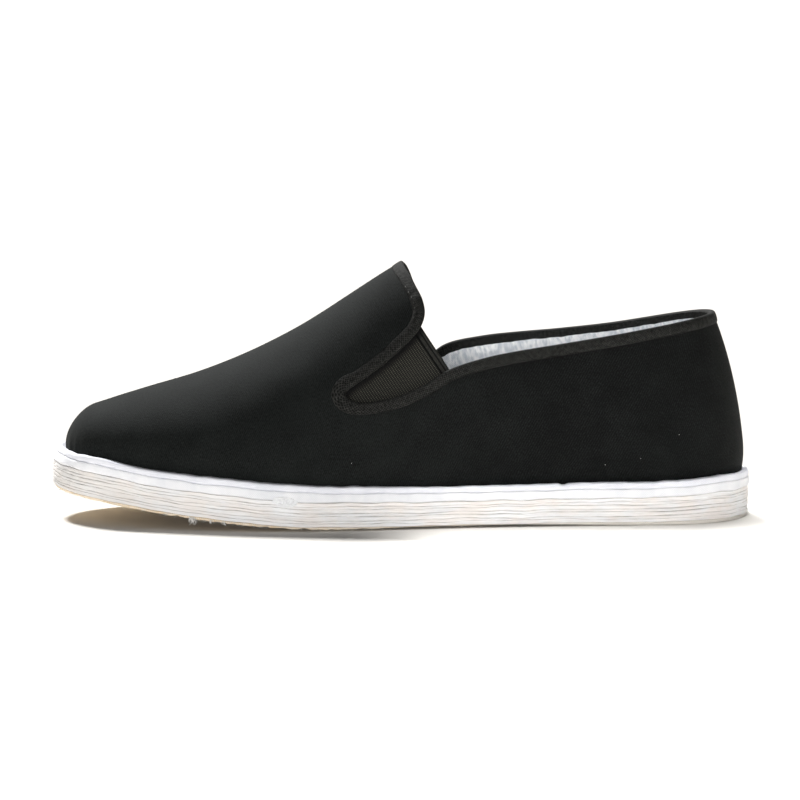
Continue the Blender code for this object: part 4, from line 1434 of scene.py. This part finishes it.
def make_tape_stitches(line, inward, places, guide, material):
    """Short stitches close to the tape's sewn edge, where they show: on the tongue and round
    the end of each notch."""
    dice = random.Random(5)
    paths = []
    for number in range(int(places[-1] / STITCH_PITCH)):
        middle = STITCH_PITCH * (number + 0.5)
        x, _, z = point_at(middle, places, line)
        on_tongue = STITCH_TONGUE_Z[0] < z < STITCH_TONGUE_Z[1] and x < STITCH_TONGUE_END_X
        if not on_tongue and math.hypot(x - NOTCH_TIP[0], z - NOTCH_TIP[1]) > STITCH_NOTCH_REACH:
            continue
        path = []
        for step in (-1.0, -0.7, 0.0, 0.7, 1.0):
            place = middle + STITCH_HALF * step
            point = point_at(place, places, line) + point_at(place, places, inward) * STITCH_INSET
            spot, normal, _, _ = guide.find_nearest(Vector(point))
            height = STITCH_HEIGHTS[abs(step) < 1] + dice.uniform(-0.03, 0.03)
            path.append(spot + normal * (height * MM))
        paths.append(path)
    thread_piece("tape_stitches", paths, STITCH_THREAD, material)


def make_lint(guide, material):
    """A few specks of white lint on the black cloth, on its lateral side."""
    dice = random.Random(12)
    paths = []
    for x, z in LINT_SPECKS:
        origin = Vector((x * MM, -90 * MM, z * MM))
        spot, normal, _, _ = guide.ray_cast(origin, Vector((0, 1, 0)))
        across = normal.cross(Vector((0, 0, 1))).normalized()
        turn = dice.uniform(0, math.pi)
        direction = across * math.cos(turn) + normal.cross(across) * math.sin(turn)
        length = dice.uniform(0.3, 0.5) * MM
        paths.append([spot + normal * 0.05 * MM + direction * length * (k / 3 - 0.5) for k in range(4)])
    thread_piece("lint_specks", paths, LINT_THREAD, material)


# Stage, light and camera

def make_floor():
    """Plain white paper, which takes the shade of the shoe."""
    work = bmesh.new()
    bmesh.ops.create_grid(work, x_segments=8, y_segments=8, size=12.0)
    floor = fill_mesh(work, "studio_floor")
    material, tree = new_material("white_paper", 1.0, 0.0)
    tree.nodes["Principled BSDF"].inputs["Base Color"].default_value = linear("#D6D3CE")
    floor.data.materials.append(material)


def add_light(name, kind, place, target, power, **settings):
    light = bpy.data.lights.new(name, kind)
    light.energy = power
    for setting, value in settings.items():
        setattr(light, setting, value)
    holder = bpy.data.objects.new(name, light)
    holder.location = place
    holder.rotation_euler = (Vector(target) - Vector(place)).to_track_quat("-Z", "Y").to_euler()
    bpy.context.scene.collection.objects.link(holder)


def add_panel(name, place, target, power, size, **settings):
    shape = {"shape": "RECTANGLE", "size": size[0], "size_y": size[1]}
    add_light(name, "AREA", place, target, power, **shape, **settings)


def make_light():
    """An even white tent, a soft key from above and behind, a low softbox in front, and
    gridded strip lights over the floor round the heel, which lift the shadow there."""
    world = bpy.data.worlds.new("white_tent")
    world.use_nodes = True
    background = world.node_tree.nodes["Background"]
    background.inputs["Color"].default_value = linear("#FFFFFF")
    background.inputs["Strength"].default_value = TENT_STRENGTH
    bpy.context.scene.world = world
    add_light("soft_key", "SUN", KEY_PLACE, (0.0, 0.0, 0.0), KEY_POWER, angle=KEY_ANGLE)
    add_panel("front_softbox", SOFTBOX_PLACE, SOFTBOX_AIM, SOFTBOX_POWER, SOFTBOX_SIZE)
    for name, x, y, length, width in FLOOR_STRIPS:
        power = STRIP_POWER * length * width
        size = (length, width)
        add_panel(name, (x, y, STRIP_HEIGHT), (x, y, 0.0), power, size, spread=STRIP_SPREAD)


def make_camera():
    level = math.cos(CAMERA_RISE)
    away = Vector((math.sin(CAMERA_YAW) * level, -math.cos(CAMERA_YAW) * level, math.sin(CAMERA_RISE)))
    data = bpy.data.cameras.new("photo_camera")
    data.sensor_width = SENSOR_WIDTH
    data.lens = SENSOR_WIDTH * CAMERA_DISTANCE / (FRAME_PIXELS * PIXEL_SIZE)
    data.shift_x = (FRAME_PIXELS / 2 - TARGET_COLUMN) / FRAME_PIXELS
    data.shift_y = (TARGET_ROW - FRAME_PIXELS / 2) / FRAME_PIXELS
    data.clip_end = 100.0
    camera = bpy.data.objects.new("photo_camera", data)
    look = (-away).to_track_quat("-Z", "Y").to_matrix().to_4x4()
    place = Matrix.Translation(CAMERA_TARGET + away * CAMERA_DISTANCE)
    camera.matrix_world = place @ look @ Matrix.Rotation(-CAMERA_ROLL, 4, "Z")
    bpy.context.scene.collection.objects.link(camera)
    bpy.context.scene.camera = camera


def main():
    bpy.context.scene.view_settings.view_transform = "Standard"
    make_camera()
    make_floor()
    make_light()
    top_calico = white_calico("top_calico", "#F0F1F7", "#DFE1E9", 0.25 * MM)
    calico = white_calico("white_calico", "#F7F7F9", "#E4E6EB", 0.25 * MM)
    lining_cotton = white_calico("lining_cotton", "#FFFFFF", "#CDD2D8", 0.6 * MM, 2.2)
    tape_cotton = bias_tape()
    guide = make_upper(black_serge())
    make_lining(lining_cotton)
    line, inward, places = make_tape(guide, tape_cotton)
    webbing = elastic_webbing()
    make_elastic(-1, "lateral", webbing)
    make_elastic(1, "medial", webbing)
    make_sole(top_calico, calico, cut_plies(), cream_canvas())
    make_sock(white_calico("sock_cotton", "#EFEFED", "#DADAD6", 0.15 * MM))
    black_thread = plain_cotton("black_thread", "#33332F", 0.7)
    white_thread = plain_cotton("white_thread", "#F4F2EE", 0.8)
    make_tape_stitches(line, inward, places, guide, black_thread)
    make_bottom_fuzz(white_thread)
    make_loose_threads(white_thread)
    make_flake(plain_cotton("cotton_wool", "#F7F8FA", 0.95))
    make_lint(guide, white_thread)


main()
